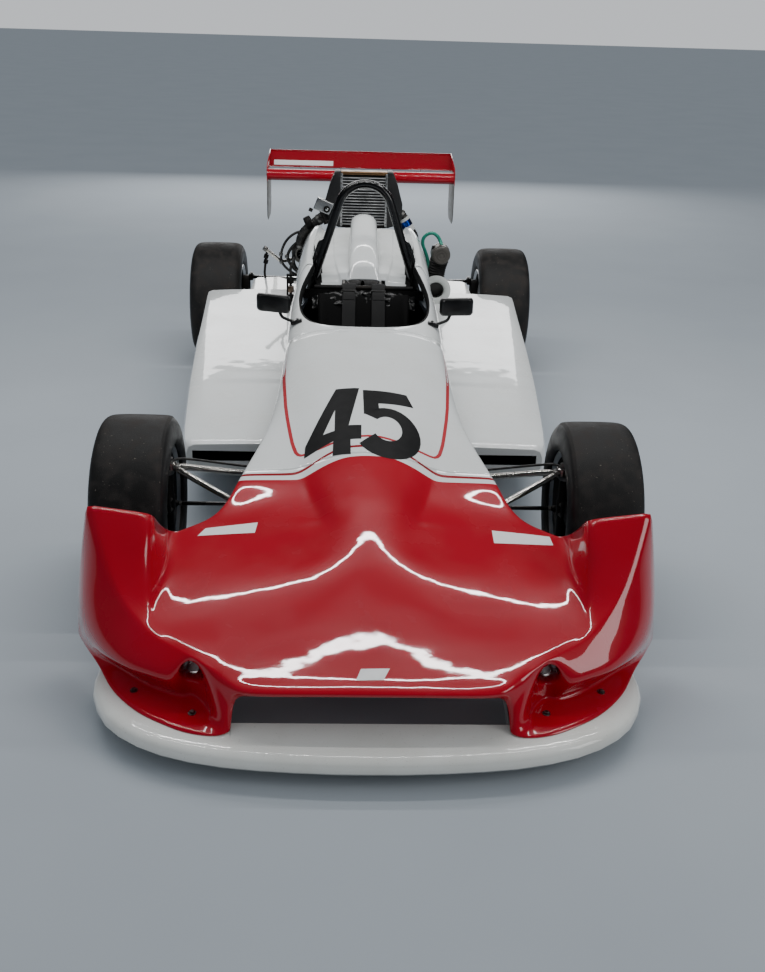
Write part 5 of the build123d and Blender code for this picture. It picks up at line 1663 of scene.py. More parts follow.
# Rims: half width, inboard side of the spokes and of the hub from the wheel's middle plane
RIMS = {"front": (101.5, 79.5, -66.5), "rear": (119, 97, -109)}
SPOKE_OUTLINE = pts("30 29, 60 27, 100 26, 132 29, 150 36, 161 48")


def build_rim(end, name, side):
    """Barrel with rolled lips, four ribbed spokes, hub with its nut and a vented disc."""
    half, face, hub_in = RIMS[end]
    body = f"wheel_{end}_{name}"
    centre = middle_of(f"{end}_tyre_{name}")
    axis = Vector((side, 0, 0))
    section = ((-half, 171), (-half, 177.5), (-half + 2, 179), (-half + 5, 178), (-half + 7, 172),
        (-half + 10, 166), (-half + 30, 165), (-half + 44, 158.5), (half - 60, 158.5), (half - 44, 165),
        (half - 10, 166), (half - 7, 172), (half - 5, 178), (half - 2, 179), (half, 177.5), (half, 171),
        (half - 5, 165), (half - 9, 158), (half - 42, 157.5), (half - 58, 152), (-half + 42, 152),
        (-half + 28, 158), (-half + 9, 159), (-half + 5, 166), (-half, 171))
    barrel = lathe("barrel", section, centre, axis, "dark_rim", 128, body=body)
    barrel.data.materials.append(M["alloy"])
    for polygon in barrel.data.polygons:
        if abs(polygon.center.x - centre.x) > (half - 8.5) * MM:
            polygon.material_index = 1
    parts = Kit(body)
    parts.append(barrel)
    for c, s in circle(4):
        way = Vector((0, c, s))
        wide = axis.cross(way)
        outline = [centre + axis * face * MM + way * r * MM + wide * w * MM for r, w in SPOKE_OUTLINE]
        outline += [centre + axis * face * MM + way * r * MM - wide * w * MM for r,
            w in reversed(SPOKE_OUTLINE)]
        parts.prism("spoke", outline, axis * 0.014, "dark_rim", bevel=3.5)
        rib = [centre + axis * (face - 16) * MM + way * r * MM + wide * w * MM for r,
            w in pts("38 -4, 38 4, 158 4, 158 -4")]
        parts.prism("rib", rib, axis * 0.018, "dark_rim", bevel=2)
        stud = centre + axis * (face + 14) * MM + (way + wide).normalized() * 0.033
        parts.bolt(stud, axis, 6.5, "steel", 0.7)
    parts.lathe("hub", ((hub_in, 17), (hub_in, 42), (hub_in + 4, 45), (hub_in + 30, 45), (face - 12, 40),
        (face - 2, 45), (face + 14, 45), (face + 15, 43), (face + 15, 0)), centre, axis, "cast", 64)
    nut = face + 15
    parts.lathe("nut", ((nut, 24), (nut + 3, 25), (nut + 11, 24), (nut + 12, 21), (nut + 12, 0)), centre,
        axis, "gold", 6)
    disc = hub_in + 12
    parts.lathe("disc", ((disc, 62), (disc, 119), (disc + 0.8, 120), (disc + 4.6, 120), (disc + 4.6, 70),
        (disc + 7.4, 70), (disc + 7.4, 120), (disc + 11.2, 120), (disc + 12, 119), (disc + 12, 62),
        (disc + 14, 58), (disc + 14, 44)), centre, axis, "disc", 96)
    parts.lathe("bell", ((disc - 4, 44), (disc - 4, 64), (disc, 66), (disc, 60), (disc + 2, 44)), centre,
        axis, "alloy", 64)
    for c, s in circle(8, 0.5):
        spot = centre + axis * (disc - 4) * MM + Vector((0, c, s)) * 0.056
        parts.bolt(spot, -axis, 3.6, "steel", 0.8, False)
    valve = centre + axis * (half - 14) * MM + Vector((0, 0.7071, 0.7071)) * 0.154
    parts.lathe("valve", pts("0 0, 0 3.5, 14 3, 14 4, 20 4, 20 0"), valve, axis, "black_cast", 16)
    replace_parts(joined(f"{end}_rim_{name}_barrel", parts), f"{end}_rim_{name}")


def caliper(side, x0, x1, station, z, disc_in, body):
    """Four piston caliper in two halves that straddle the disc, with its bridge bolts."""
    parts = Kit(body)
    low, high = z - 46, z + 46
    # Columns: station, z of one half's outline
    outline = ((station - 30, low + 14), (station - 20, low), (station + 26, low), (station + 31, low + 12),
        (station + 31, high - 12), (station + 26, high), (station - 20, high), (station - 30, high - 14))
    for a, b in ((x0 + 18, disc_in - 3), (disc_in + 15, x1)):
        parts.prism("caliper_half", [at(side * a, s, h) for s, h in outline],
            Vector((side * (b - a) * MM, 0, 0)), "gold", bevel=4)
        for h in (z - 21, z + 21):
            parts.lathe("piston_cap", pts("0 15, 2.5 15, 3.5 13, 3.5 0"),
                at(side * (a if a < disc_in else b), station + 2, h),
                (-side if a < disc_in else side, 0, 0), "gold", 32)
    parts.slab("bridge", at(side * (disc_in - 6), station - 29, low + 12),
        at(side * (disc_in + 18), station - 23, high - 12), "gold", 2)
    for h in (low + 8, high - 8):
        parts.lathe("bridge_bolt", ((0, 4), (x1 - x0 - 22, 4)), at(side * (x0 + 20), station - 18, h),
            (side, 0, 0), "steel", 12)
    return parts


# Front suspension. Upper joint, lower joint, feet of the arms in front and behind
FRONT_TOP, FRONT_LOW = (601, 0, 392), (612, 0, 140)
FRONT_FEET = (((200, -230, 262), (224, 160, 286), FRONT_TOP, "plated", 9.5),
    ((196, -300, 132), (226, 180, 132), FRONT_LOW, "hoop", 9))


def sided(point, side):
    x, station, z = point
    return at(side * x, station, z)


def build_front_corner(side, name):
    """Wishbones, brake hose, upright with its steering arm and the caliper."""
    parts = Kit()
    for front, rear, outer, material, radius in FRONT_FEET:
        joint = sided(outer, side)
        for foot in (front, rear):
            a = sided(foot, side)
            inward = (a - joint).normalized()
            parts.rod(a, joint + inward * 0.008, radius, material, ball=11, lock=9)
            lug = a + Vector((-side * 0.013, 0, 0))
            parts.slab("lug", lug - Vector((0.013, 0.016, 0.013)), lug + Vector((0.013, 0.016, 0.013)),
                "black_cast", bevel=2.5)
        parts.lathe("socket", pts("-13 0, -13 15, -10 18, 10 18, 13 15, 13 0"), joint, (0, 0, 1), material,
            steps=32)
    top = sided(FRONT_TOP, side)
    parts.bolt(top + Vector((0, 0, 0.013)), (0, 0, 1), 9, tall=0.9)
    hose = [(228, 146, 310), (300, 130, 330), (420, 78, 366), (540, 34, 400), (590, 10, 412),
        (598, -6, 404)]
    parts.tube("brake_hose", [sided(p, side) for p in hose], 4, "oil_hose", smooth_route=True)
    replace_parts(joined(f"front_arms_{name}_tubes", parts), f"front_arms_{name}")

    spindle = sided((606, 0, 270), side)
    parts = Kit(f"steer_{name}")
    parts.lathe("upright", pts("-124 0, -124 14, -116 17, -30 17, -24 20, 24 20, 30 17, 92 17, 96 15, "
        "96 0"), sided((612, 0, 270), side), (0, 0, 1), "black_cast", 40)
    parts.lathe("collar", pts("96 0, 96 20, 98 21, 106 21, 108 19, 108 0"), sided((612, 0, 270), side),
        (0, 0, 1), "steel", 40)
    parts.lathe("spindle_flange", pts("-4 0, -4 30, 0 34, 14 34, 18 28, 22 20, 28 16, 150 16, 150 0"),
        spindle, (side, 0, 0), "black_cast", 48)
    for c, s in circle(4, 0.5):
        spot = spindle + Vector((-side * 0.004, 0.024 * c, 0.024 * s))
        parts.bolt(spot, (-side, 0, 0), 4.5)
    outline = [sided(p, side) for p in pts("596 8 203, 600 60 203, 604 112 203, 612 121 203, 622 116 203, "
        "624 60 203, 630 8 203, 626 -14 203, 600 -14 203")]
    parts.prism("steering_arm", outline, Vector((0, 0, 0.010)), "black_cast", bevel=2.5)
    parts.caliper(side, 600, 682, -110, 270, 648)
    bracket = [sided(p, side) for p in pts("612 -96 236, 612 0 244, 612 0 296, 612 -96 304")]
    parts.prism("caliper_bracket", bracket, Vector((side * 0.012, 0, 0)), "black_cast", bevel=2)
    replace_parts(joined(f"front_knuckle_{name}_upright", parts), f"front_knuckle_{name}")


RACK_STATION, RACK_Z = 100, 221.3


def build_rack():
    """Steering rack with its tie rods, and the housing with rubber boots."""
    parts = Kit("steering_rack")
    parts.lathe("rack_bar", pts("-150 0, -150 10, -149 10.8, 149 10.8, 150 10, 150 0"),
        at(0, RACK_STATION, RACK_Z), (1, 0, 0), "plated", 32)
    for side in (-1, 1):
        parts.rod(at(side * 150, RACK_STATION, RACK_Z), at(side * 607, RACK_STATION, RACK_Z), 7, "hoop",
            ball=12, lock=8, ball_material="black_cast")
    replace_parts(joined("rack_bar", parts), "rack")
    section = pts("-90 11, -90 17, -86 18, -40 18, -36 21, -22 21, -18 18, 18 18, 22 21, 36 21, 40 18, "
        "86 18, 90 17, 90 11")
    parts = Kit()
    parts.lathe("rack_tube", section, at(0, RACK_STATION, RACK_Z), (1, 0, 0), "cast", steps=48)
    for x in (-60, 60):
        parts.slab("rack_clamp", at(x - 9, RACK_STATION - 21, RACK_Z - 24),
            at(x + 9, RACK_STATION + 21, RACK_Z + 20), "black_cast", bevel=3)
    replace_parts(joined("rack_tube", parts), "rack_housing")


# Engine, gearbox and rear suspension

def casting(name, rows, corner, material, bevel=2.0):
    """Cast case through rounded rectangular sections. Columns: station, x0, x1, z0, z1."""
    loops = []
    for station, x0, x1, z0, z1 in rows:
        cx, cz, w, h = (x0 + x1) / 2, (z0 + z1) / 2, (x1 - x0) / 2, (z1 - z0) / 2
        r = min(corner, w * 0.9, h * 0.9)
        loop = []
        for sx, sz, first in pts("1 1 0, -1 1 1, -1 -1 2, 1 -1 3"):
            for k in range(5):
                t = math.pi / 2 * (first + k / 4)
                loop.append(at(cx + sx * (w - r) + r * math.cos(t), station,
                    cz + sz * (h - r) + r * math.sin(t)))
        loops.append(loop)
    count = len(loops[0])
    faces = grid_faces(len(loops), count, True) + caps(len(loops), count)
    mesh = mesh_of(name, [p for loop in loops for p in loop], faces)
    piece = new_object(name, mesh, material)
    outward(piece.data)
    soften(piece, bevel, 2, 35)
    return piece


# Columns: station, x0, x1, z0, z1
GEARBOX_ROWS = pts("2130 -140 140 98 430, 2146 -140 140 98 430, 2147 -130 130 106 422, "
    "2240 -112 112 140 410, 2318 -92 92 170 400, 2470 -90 90 171 398, 2640 -88 88 174 396, "
    "2648 -92 92 170 400, 2662 -92 92 170 400, 2663 -84 84 178 392, 2780 -72 72 192 384, "
    "2860 -62 62 202 378")
BLOCK_ROWS = pts("1640 -104 104 120 410, 1662 -116 116 104 418, 2108 -116 116 104 418, 2109 -120 120 97 420, "
    "2130 -120 120 97 420")
HEAD_ROWS = pts("1660 -88 88 420 520, 1680 -94 94 420 528, 2090 -94 94 420 528, 2110 -88 88 420 520")
CAM_ROWS = pts("1676 -70 70 526 546, 1694 -78 78 526 558, 2076 -78 78 526 558, 2094 -70 70 526 546")


def build_engine():
    """Ribbed block with sump rail, head with cam cover, plugs, pulleys and filter."""
    parts = Kit()
    parts.append(casting("block", BLOCK_ROWS, 20, "cast"))
    parts.append(casting("head", HEAD_ROWS, 12, "cast"))
    parts.append(casting("cam_cover", CAM_ROWS, 14, "black_cast", 3))
    for side in (-1, 1):
        for station in range(1700, 2100, 56):
            parts.slab("rib", at(side * 113, station - 4, 190), at(side * 119.5, station + 4, 404), "cast",
                bevel=2)
        parts.slab("sump_rail", at(side * 112, 1664, 176), at(side * 120, 2106, 186), "cast", bevel=2)
        for station in range(1690, 2100, 45):
            parts.bolt(at(side * 119, station, 181), (side, 0, 0), 3, washer=False)
        for station in range(1700, 2080, 62):
            parts.bolt(at(side * 66, station, 557), (0, 0, 1), 4.5)
    for station in (1722, 1836, 1950, 2064):
        parts.lathe("plug", pts("0 9, 16 9, 16 6, 24 6, 25 0"), at(0, station, 556), (0, 0, 1),
            "black_cast", steps=20)
    for x, z, r in pts("0 150 62, 0 300 46, -76 250 32, 80 330 34"):
        groove = ((0, 0), (0, r * 0.96), (1, r), (5, r), (8, r - 6), (11, r), (15, r), (16, r * 0.96),
            (16, r * 0.7), (12, r * 0.66), (12, r * 0.3), (18, r * 0.28), (18, 0))
        parts.lathe("pulley", groove, at(x, 1646, z), (0, -1, 0), "cast", steps=64)
    parts.lathe("filter", pts("0 36, 4 38, 70 38, 78 34, 80 20, 80 0"), at(118, 1780, 220), (0, 0, -1),
        "black_cast", steps=48)
    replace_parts(joined("engine_block", parts), "engine")


def build_gearbox():
    """Bell housing, case and tail with flanges, bolts, side covers and a tow eye."""
    parts = Kit()
    parts.append(casting("case", GEARBOX_ROWS, 30, "cast"))
    for side in (-1, 1):
        for z in range(130, 421, 48):
            parts.bolt(at(side * 132, 2147, z), (0, 1, 0), 5, tall=0.8)
        for z in range(194, 390, 38):
            parts.bolt(at(side * 84, 2663, z), (0, 1, 0), 4.5, tall=0.8)
        parts.lathe("output", pts("88 66, 96 66, 98 62, 104 58, 110 52, 128 50, 130 48, 130 40"),
            at(0, 2500, 287.5), (side, 0, 0), "cast", steps=72)
        for c, s in circle(8, 0.5):
            spot = at(side * 97, 2500 + 62 * c, 287.5 + 62 * s)
            parts.bolt(spot, (side, 0, 0), 4, washer=False)
        for z0, z1 in ((186, 232), (342, 384)):
            parts.slab("rib", at(side * 86, 2330, z0), at(side * 93, 2636, z0 + 6), "cast", bevel=2)
            parts.slab("rib", at(side * 86, 2330, z1), at(side * 93, 2636, z1 + 6), "cast", bevel=2)
    for station in range(2350, 2640, 70):
        parts.slab("rib", at(-78, station - 4, 394), at(78, station + 4, 401), "cast", bevel=2)
    arc = [(math.cos(turn), math.sin(turn)) for turn in (math.pi * (k / 24 - 0.5) for k in range(25))]
    outer = [at(-5, 2893 + 37 * c, 300 + 37 * s) for c, s in arc]
    outer += [at(-5, 2856, 337), at(-5, 2856, 263)]
    inner = [at(-5, 2893 + 25 * c, 300 + 25 * s) for c, s in arc]
    inner += [at(-5, 2893 - 25 * math.cos(t), 300 + 25 * math.sin(t)) for t in (0.8, -0.8)]
    tow = holed("tow_eye", outer, inner, (0.010, 0, 0), "gold")
    parts.append(soften(tow, 1.5, 2))
    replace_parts(joined("gearbox_case", parts), "gearbox")


# Rear links: outer end, then the two feet; radius
REAR_LINKS = (((553, 2500, 168), ((112, 2330, 186), (112, 2650, 186)), 10),
    ((553, 2500, 408), ((106, 2530, 390), (152, 2120, 480)), 9))
SPRING_FOOT, SPRING_HEAD = (470, 2575, 196), (240, 2590, 505)
SPRING_SPAN = (0.24, 0.8)


def build_rear_corner(side, name):
    """Links, upright with its caliper, coil spring over its damper, and driveshaft with boots."""
    parts = Kit()
    for outer, feet, radius in REAR_LINKS:
        for foot in feet:
            parts.rod(sided(foot, side), sided(outer, side), radius, "hoop", ball=11, lock=9)
            x = foot[0] - 10
            parts.slab("lug", at(side * (x - 14), foot[1] - 14, foot[2] - 14),
                at(side * (x + 8), foot[1] + 14, foot[2] + 14), "black_cast", bevel=3)
        x, station, z = outer
        parts.slab("clevis", at(side * 545, station - 20, z - 15), at(side * 567, station + 20, z + 15),
            "black_cast", bevel=3)
        parts.bolt(at(side * 553, station, z + 15), (0, 0, 1), 7)
    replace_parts(joined(f"rear_arms_{name}_links", parts), f"rear_arms_{name}")

    outline = [sided((566, s, z), side) for s, z in pts("2478 160, 2522 160, 2534 176, 2534 250, 2528 290, "
        "2520 400, 2512 416, 2484 416, 2476 400, 2466 290, 2466 250, 2468 176")]
    parts = Kit()
    parts.prism("upright", outline, Vector((side * 0.034, 0, 0)), "black_cast", bevel=4)
    hub = pts("-8 21, -8 38, -4 44, 0 46, 32 46, 36 42, 37.5 38, 37.5 21")
    parts.lathe("bearing_housing", hub, sided((566, 2500, 287.5), side), (side, 0, 0), "cast", steps=64)
    for z0, z1 in ((176, 238), (338, 400)):
        for a, b in ((560, 568), (598, 604)):
            parts.slab("web", at(side * a, 2494, z0), at(side * b, 2506, z1), "black_cast", bevel=2)
    parts.caliper(side, 566, 652, 2390, 287.5, 618)
    arm = [sided(p, side) for p in pts("580 2408 262, 580 2480 252, 580 2480 324, 580 2408 314")]
    parts.prism("caliper_bracket", arm, Vector((side * 0.014, 0, 0)), "black_cast", bevel=2)
    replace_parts(joined(f"rear_upright_{name}_casting", parts), f"rear_upright_{name}")

    foot, head = sided(SPRING_FOOT, side), sided(SPRING_HEAD, side)
    run = head - foot
    length, run = run.length / MM, run.normalized()
    low, high = (length * share for share in SPRING_SPAN)
    parts = Kit()
    parts.lathe("damper", ((14, 0), (14, 13), (22, 16), (low - 6, 16), (low - 6, 31), (low, 32),
        (low + 2, 22), (low + 6, 20), (high * 0.72, 20), (high * 0.74, 14), (high * 0.76, 8), (high, 8),
        (high + 2, 30), (high + 8, 32), (high + 12, 28), (high + 14, 14), (length - 16, 12),
        (length - 14, 0)), foot, run, "spring_body", steps=48)
    turns = bpy.context.scene.racing_car.spring_turns
    up = run.orthogonal().normalized()
    out = run.cross(up)
    steps = round(turns * 24)
    coil = []
    for k in range(steps + 1):
        turn = math.tau * turns * k / steps
        share = k / steps
        rise = low + 5 + (high - low - 8) * (share + 0.012 * math.sin(math.tau * share))
        coil.append(foot + run * rise * MM + (up * math.cos(turn) + out * math.sin(turn)) * 0.028)
    parts.sweep("coil", coil, [4] * len(coil), "spring", around=12)
    for end in (foot, head):
        parts.lathe("eye", pts("-12 0, -12 8, -11 8, -11 15, 11 15, 11 8, 12 8, 12 0"), end, (0, 1, 0),
            "steel", steps=32)
    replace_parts(joined(f"spring_leg_{name}_coil", parts), f"spring_leg_{name}")

    body = f"wheel_rear_{name}"
    centre = sided((0, 2500, 287.5), side)
    boot = [(140, 41), (158, 42), (162, 40)]
    for k in range(7):
        boot += [(164 + k * 5, 40 - k * 2.8), (166.5 + k * 5, 36 - k * 2.8)]
    inner = [(137, 0), (137, 40)] + boot + [(200, 14), (204, 12)]
    parts = Kit(body)
    parts.lathe("inner_joint", inner, centre, (side, 0, 0), "black_cast", 64)
    outer = [(690 - a, r) for a, r in inner]
    parts.lathe("outer_joint", outer, centre, (side, 0, 0), "black_cast", 64)
    parts.lathe("shaft", ((202, 12), (488, 12)), centre, (side, 0, 0), "steel", 32)
    parts.lathe("hub_shaft", pts("553 0, 553 20, 606 20, 606 0"), centre, (side, 0, 0), "steel", 40)
    for c, s in circle(6):
        for x in (137, 553):
            spot = centre + Vector((side * x * MM, 0.032 * c, 0.032 * s))
            parts.bolt(spot, (-side if x < 200 else side, 0, 0), 3.4, "steel", 0.5, False)
    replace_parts(joined(f"rear_shaft_{name}_joints", parts), f"rear_shaft_{name}")


# Wing pylon's plate: station and z of its corners
PYLON = pts("2710 340, 3005 845, 3135 845, 2850 340")
PYLON_STEPS = 9


def build_rear_frame():
    """Spring beam, wing pylon plates with lightening holes, cross tubes and rain light."""
    parts = Kit()
    parts.slab("beam", at(-264, 2576, 505), at(264, 2604, 525), "black_cast", bevel=3)
    for side in (-1, 1):
        parts.slab("beam_leg", at(side * 66, 2576, 398), at(side * 82, 2604, 508), "black_cast", bevel=3)
        parts.prism("gusset", [at(side * 66, 2586, 420), at(side * 66, 2586, 506),
            at(side * 126, 2586, 506)], Vector((0, 0.008, 0)), "black_cast", bevel=1.5)
        parts.bolt(at(side * 240, 2576, 515), (0, -1, 0), 7)
        parts.bolt(at(side * 74, 2576, 515), (0, -1, 0), 7)
    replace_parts(joined("spring_beam_bar", parts), "spring_beam")

    parts = Kit()
    for side in (-1, 1):
        x = 52 if side > 0 else -58
        low_a, high_a, high_b, low_b = (Vector(p) for p in PYLON)
        for k in range(PYLON_STEPS):
            t0, t1 = k / PYLON_STEPS, (k + 1) / PYLON_STEPS
            cell = [low_a.lerp(high_a, t0), low_b.lerp(high_b, t0), low_b.lerp(high_b, t1),
                low_a.lerp(high_a, t1)]
            middle = sum(cell, Vector((0, 0))) / 4
            if k % 2 == 0 or k == PYLON_STEPS - 1:
                parts.prism("plate", [at(x, *p) for p in cell], Vector((0.006, 0, 0)), "alloy")
                continue
            border = [cell[i].lerp(cell[(i + 1) % 4], j / 8) for i in range(4) for j in range(8)]
            hole = [middle + (p - middle).normalized() * 24 for p in border]
            plate = holed("plate", [at(x, *p) for p in border], [at(x, *p) for p in hole], (0.006, 0, 0),
                "alloy")
            mark_sharp(plate.data, 30)
            parts.append(plate)
        for station, z in pts("2745 372, 2812 372, 2836 480, 3020 815, 3090 815"):
            parts.bolt(at(x + (6 if side > 0 else 0), station, z), (side, 0, 0), 6)
    for station, z in ((2895, 560), (2990, 720)):
        parts.lathe("spacer", ((-52, 7), (52, 7)), at(0, station, z), (1, 0, 0), "steel", steps=24)
    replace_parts(joined("wing_pylon_plates", parts), "wing_pylon")

    parts = Kit()
    parts.slab("lamp_body", at(-48, 2860, 345), at(48, 2890, 391), "black_cast", bevel=5)
    parts.slab("lamp_lens", at(-43, 2888, 350), at(43, 2902, 386), "lens", bevel=4, segments=3)
    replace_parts(joined("rain_light_lamp", parts), "rain_light")


# Engine bay: turbocharger, boost pipes, intake, hoses and the small fittings round them

TURBO = (-276, 640)
OUTER_HOSE = pts("-262 762, -273 741, -305 734, -341 708, -364 671, -374 634, -372 597, -351 570, -314 543, "
    "-262 520, -180 505, -94 500")
INNER_HOSE = pts("-262 716, -273 700, -300 691, -332 658, -346 625, -337 598, -310 562, -250 530, -170 515, "
    "-94 512")
THIRD_HOSE = pts("-270 690, -287 668, -314 645, -319 598, -296 556, -220 536, -92 522")
TEAL_TUBE = pts("366 1975 684, 360 1992 700, 351 2000 720, 338 2000 734, 323 2000 742, 305 2000 740, "
    "291 2000 732, 279 2000 717, 276 2000 700, 279 2000 682, 287 2000 664, 302 2000 626, 306 2000 599, "
    "296 2008 566, 240 2016 530, 160 2020 500, 92 2020 490")


def ribbed(name, line, radius, pitch, depth, material, around=24):
    """Corrugated hose along a line of points in metres."""
    line = [Vector(p) for p in line]
    reach, total = [0.0], 0.0
    for a, b in zip(line, line[1:]):
        total += (b - a).length / MM
        reach.append(total)
    steps = max(8, round(total / pitch * 6))
    fine, radii, k = [], [], 0
    for i in range(steps + 1):
        d = total * i / steps
        while k < len(line) - 2 and reach[k + 1] < d:
            k += 1
        share = (d - reach[k]) / max(reach[k + 1] - reach[k], 1e-6)
        fine.append(line[k].lerp(line[k + 1], share))
        radii.append(radius - depth * (0.5 - 0.5 * math.cos(math.tau * d / pitch)))
    return sweep(name, fine, radii, material, around=around)


def build_turbo():
    """Compressor with its scroll, turbine housing, exhaust pipe and bypass pipe."""
    x, z = TURBO
    centre = at(x, 1985, z)
    rear = Vector((0, 1, 0))
    parts = Kit()
    parts.lathe("compressor", pts("-28 25, -28 31, -25 32, -12 30, -8 36, -2 44, 10 50, 20 50, 26 44, 28 34, "
        "30 24, 46 22, 48 27, 52 27, 54 22, 60 22"), centre, rear, "cast", steps=72)
    scroll, radii = [], []
    for k in range(41):
        turn = math.tau * k / 40 * 0.94 + 1.3
        reach = 38 + 3 * k / 40
        scroll.append(centre + Vector((reach * math.cos(turn), 8, reach * math.sin(turn))) * MM)
        radii.append(6 + 8 * k / 40)
    parts.sweep("scroll", scroll, radii, "cast")
    parts.lathe("mouth", pts("-28 25, -22 24, 0 20, 6 10, 6 0"), centre, rear, "interior", steps=48)
    for c, s in circle(7):
        way = Vector((c, 0, s))
        wide = rear.cross(way)
        blade = [centre + way * r * MM + wide * w * MM + rear * a * MM for r, w,
            a in pts("5 -1 -14, 21 -4 -16, 21 -3 -15, 5 1 -14")]
        parts.prism("blade", blade, rear * 0.012, "alloy")
    parts.lathe("turbine", pts("60 22, 62 36, 70 41, 84 41, 92 36, 94 28, 94 0"), centre, rear, "exhaust",
        steps=64)
    parts.lathe("band", pts("54 30, 55 33, 61 33, 62 30"), centre, rear, "steel", steps=48)
    for c, s in circle(8, 0.5):
        spot = centre + Vector((45 * c, 25, 45 * s)) * MM
        parts.bolt(spot, rear, 3.2, washer=False)
    run = smooth_line([at(-276, 2060, 640), at(-270, 2074, 606), at(-228, 2070, 552), at(-190, 2069, 480),
        at(-150, 2069, 410), at(-118, 2069, 380)], 8)
    parts.sweep("exhaust", run, [23] * len(run), "exhaust", around=32)
    for k in (10, 26):
        way = (run[k + 1] - run[k - 1]).normalized()
        parts.lathe("weld", pts("-2 22, -1 24.6, 1 24.6, 2 22"), run[k], way, "exhaust", steps=40)
    bypass = [at(-296, 2064, 604), at(-356, 2006, 597), at(-372, 1998, 598), at(-380, 1996, 602),
        at(-446, 1991, 655)]
    parts.sweep("bypass", bypass, [7, 7, 7, 8, 8], "plated")
    head = at(-446, 1991, 655)
    parts.lathe("bypass_end", pts("-9 0, -9 11, -7 12, 7 12, 9 11, 9 0"), head, Vector((-66, -5, 53)),
        "steel", steps=28)
    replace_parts(joined("turbocharger_housing", parts), "turbocharger")

    hoses = Kit()
    for name, route, station, radius in (("outer", OUTER_HOSE, 1980, 6), ("inner", INNER_HOSE, 1976, 7),
        ("third", THIRD_HOSE, 1968, 8)):
        line = [at(px, station, pz) for px, pz in route]
        hoses.tube(f"{name}_hose", line, radius, "oil_hose", smooth_route=True)
        for k in (1, 5, 6) if name == "outer" else (1, 4):
            way = (line[k + 1] - line[k - 1]).normalized()
            hoses.lathe("union", ((-8, radius), (-8, radius + 2.5), (-3, radius + 3.5), (3, radius + 3.5),
                (8, radius + 2.5), (8, radius)), line[k], way, "steel", steps=6 if k == 1 else 24)
    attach(joined("oil_hoses", hoses), BODY)


def build_boost_pipes():
    """Black hoses from the cooler's ends, with clamps and a blue anodised coupling."""
    ends = (("left", pts("152 1952 812, 165 1956 830, 180 1956 815, 214 1956 760, 232 1960 722, "
        "222 1968 660, 160 1978 560, 80 1985 482")),
        ("right", pts("-152 1952 812, -165 1956 830, -180 1956 815, -222 1956 780, -262 1960 744, "
        "-282 1972 700, -279 1982 662")))
    for name, route in ends:
        line = smooth_line([at(*p) for p in route], 8)
        parts = Kit()
        parts.append(ribbed("hose", line, 23.5, 9, 1.6, "hose", 32))
        for k in (11, 20, len(line) - 5):
            way = (line[k + 1] - line[k - 1]).normalized()
            parts.lathe("clamp", pts("-6 24, -6 25, 6 25, 6 24"), line[k], way, "steel", steps=48)
        if name == "left":
            a, b = at(180, 1956, 814), at(214, 1956, 757)
            run = b - a
            reach = run.length / MM
            way = run.normalized()
            for low, high, material in ((0.0, 0.2, "white_band"), (0.2, 0.62, "anodised"),
                (0.62, 1.0, "white_band")):
                parts.lathe("coupling", ((low * reach, 24), (low * reach, 26.5), (high * reach, 26.5),
                    (high * reach, 24)), a, way, material, steps=48)
        else:
            a = at(-232, 1954, 790)
            way = (at(-263, 1954, 769) - at(-236, 1954, 783)).normalized()
            parts.lathe("coupling", pts("0 24, 0 29, 3 31, 27 31, 30 29, 30 24"), a, way, "black_cast",
                steps=48)
        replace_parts(joined(f"boost_pipe_{name}_hose", parts), f"boost_pipe_{name}")


def build_intake():
    """White bell mouth, ribbed elbow, dark filter can, its bracket and a teal breather tube."""
    mouth = at(345, 1975, 483)
    forward = Vector((0, -1, 0))
    parts = Kit()
    parts.lathe("bell", pts("-2 67, 4 69.5, 9 69, 12 65, 13 56, 12 46, 8 39, 2 36, -20 35, -20 46, -2 50"),
        mouth, forward, "mouth", steps=96)
    parts.lathe("throat", pts("2 36, -20 35, -44 33, -46 0"), mouth, forward, "interior", steps=64)
    elbow = smooth_line([at(345, 1993, 483), at(345, 2014, 492), at(344, 2024, 530), at(346, 2022, 564),
        at(352, 2018, 596), at(360, 2012, 622)], 8)
    parts.append(ribbed("elbow", elbow, 44, 12, 7, "duct", 40))
    can = at(360, 1975, 652)
    section = pts("-45 0, -45 36, -42 39, -34 39, -33 42, -28 43, 40 43, 45 40, 45 0")
    parts.lathe("can", section, can, (0, 1, 0), "can", steps=72)
    front = [(45, 0), (47, 0), (47, 8), (45.5, 9), (45.5, 14), (48, 15), (48, 19), (45.5, 20), (45.5, 27),
        (47.5, 28), (47.5, 33), (45, 34)]
    parts.lathe("can_face", front, can, forward, "can", steps=72)
    parts.lathe("can_lip", pts("30 43, 31 44.5, 36 44.5, 37 43"), can, (0, 1, 0), "alloy", steps=72)
    parts.tube("breather", [at(*p) for p in TEAL_TUBE], 8, "teal", smooth_route=True)
    parts.lathe("nipple", pts("-8 0, -8 8, -2 8, 0 11, 8 11, 10 8, 16 7, 16 0"), at(326, 1976, 680),
        (1, 0, -0.3), "black_cast", steps=24)
    parts.tube("intake_bracket", [at(95, 2024, 530), at(240, 2024, 524), at(330, 2024, 528)], 8, "hoop")
    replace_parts(joined("air_intake_bell", parts), "air_intake")


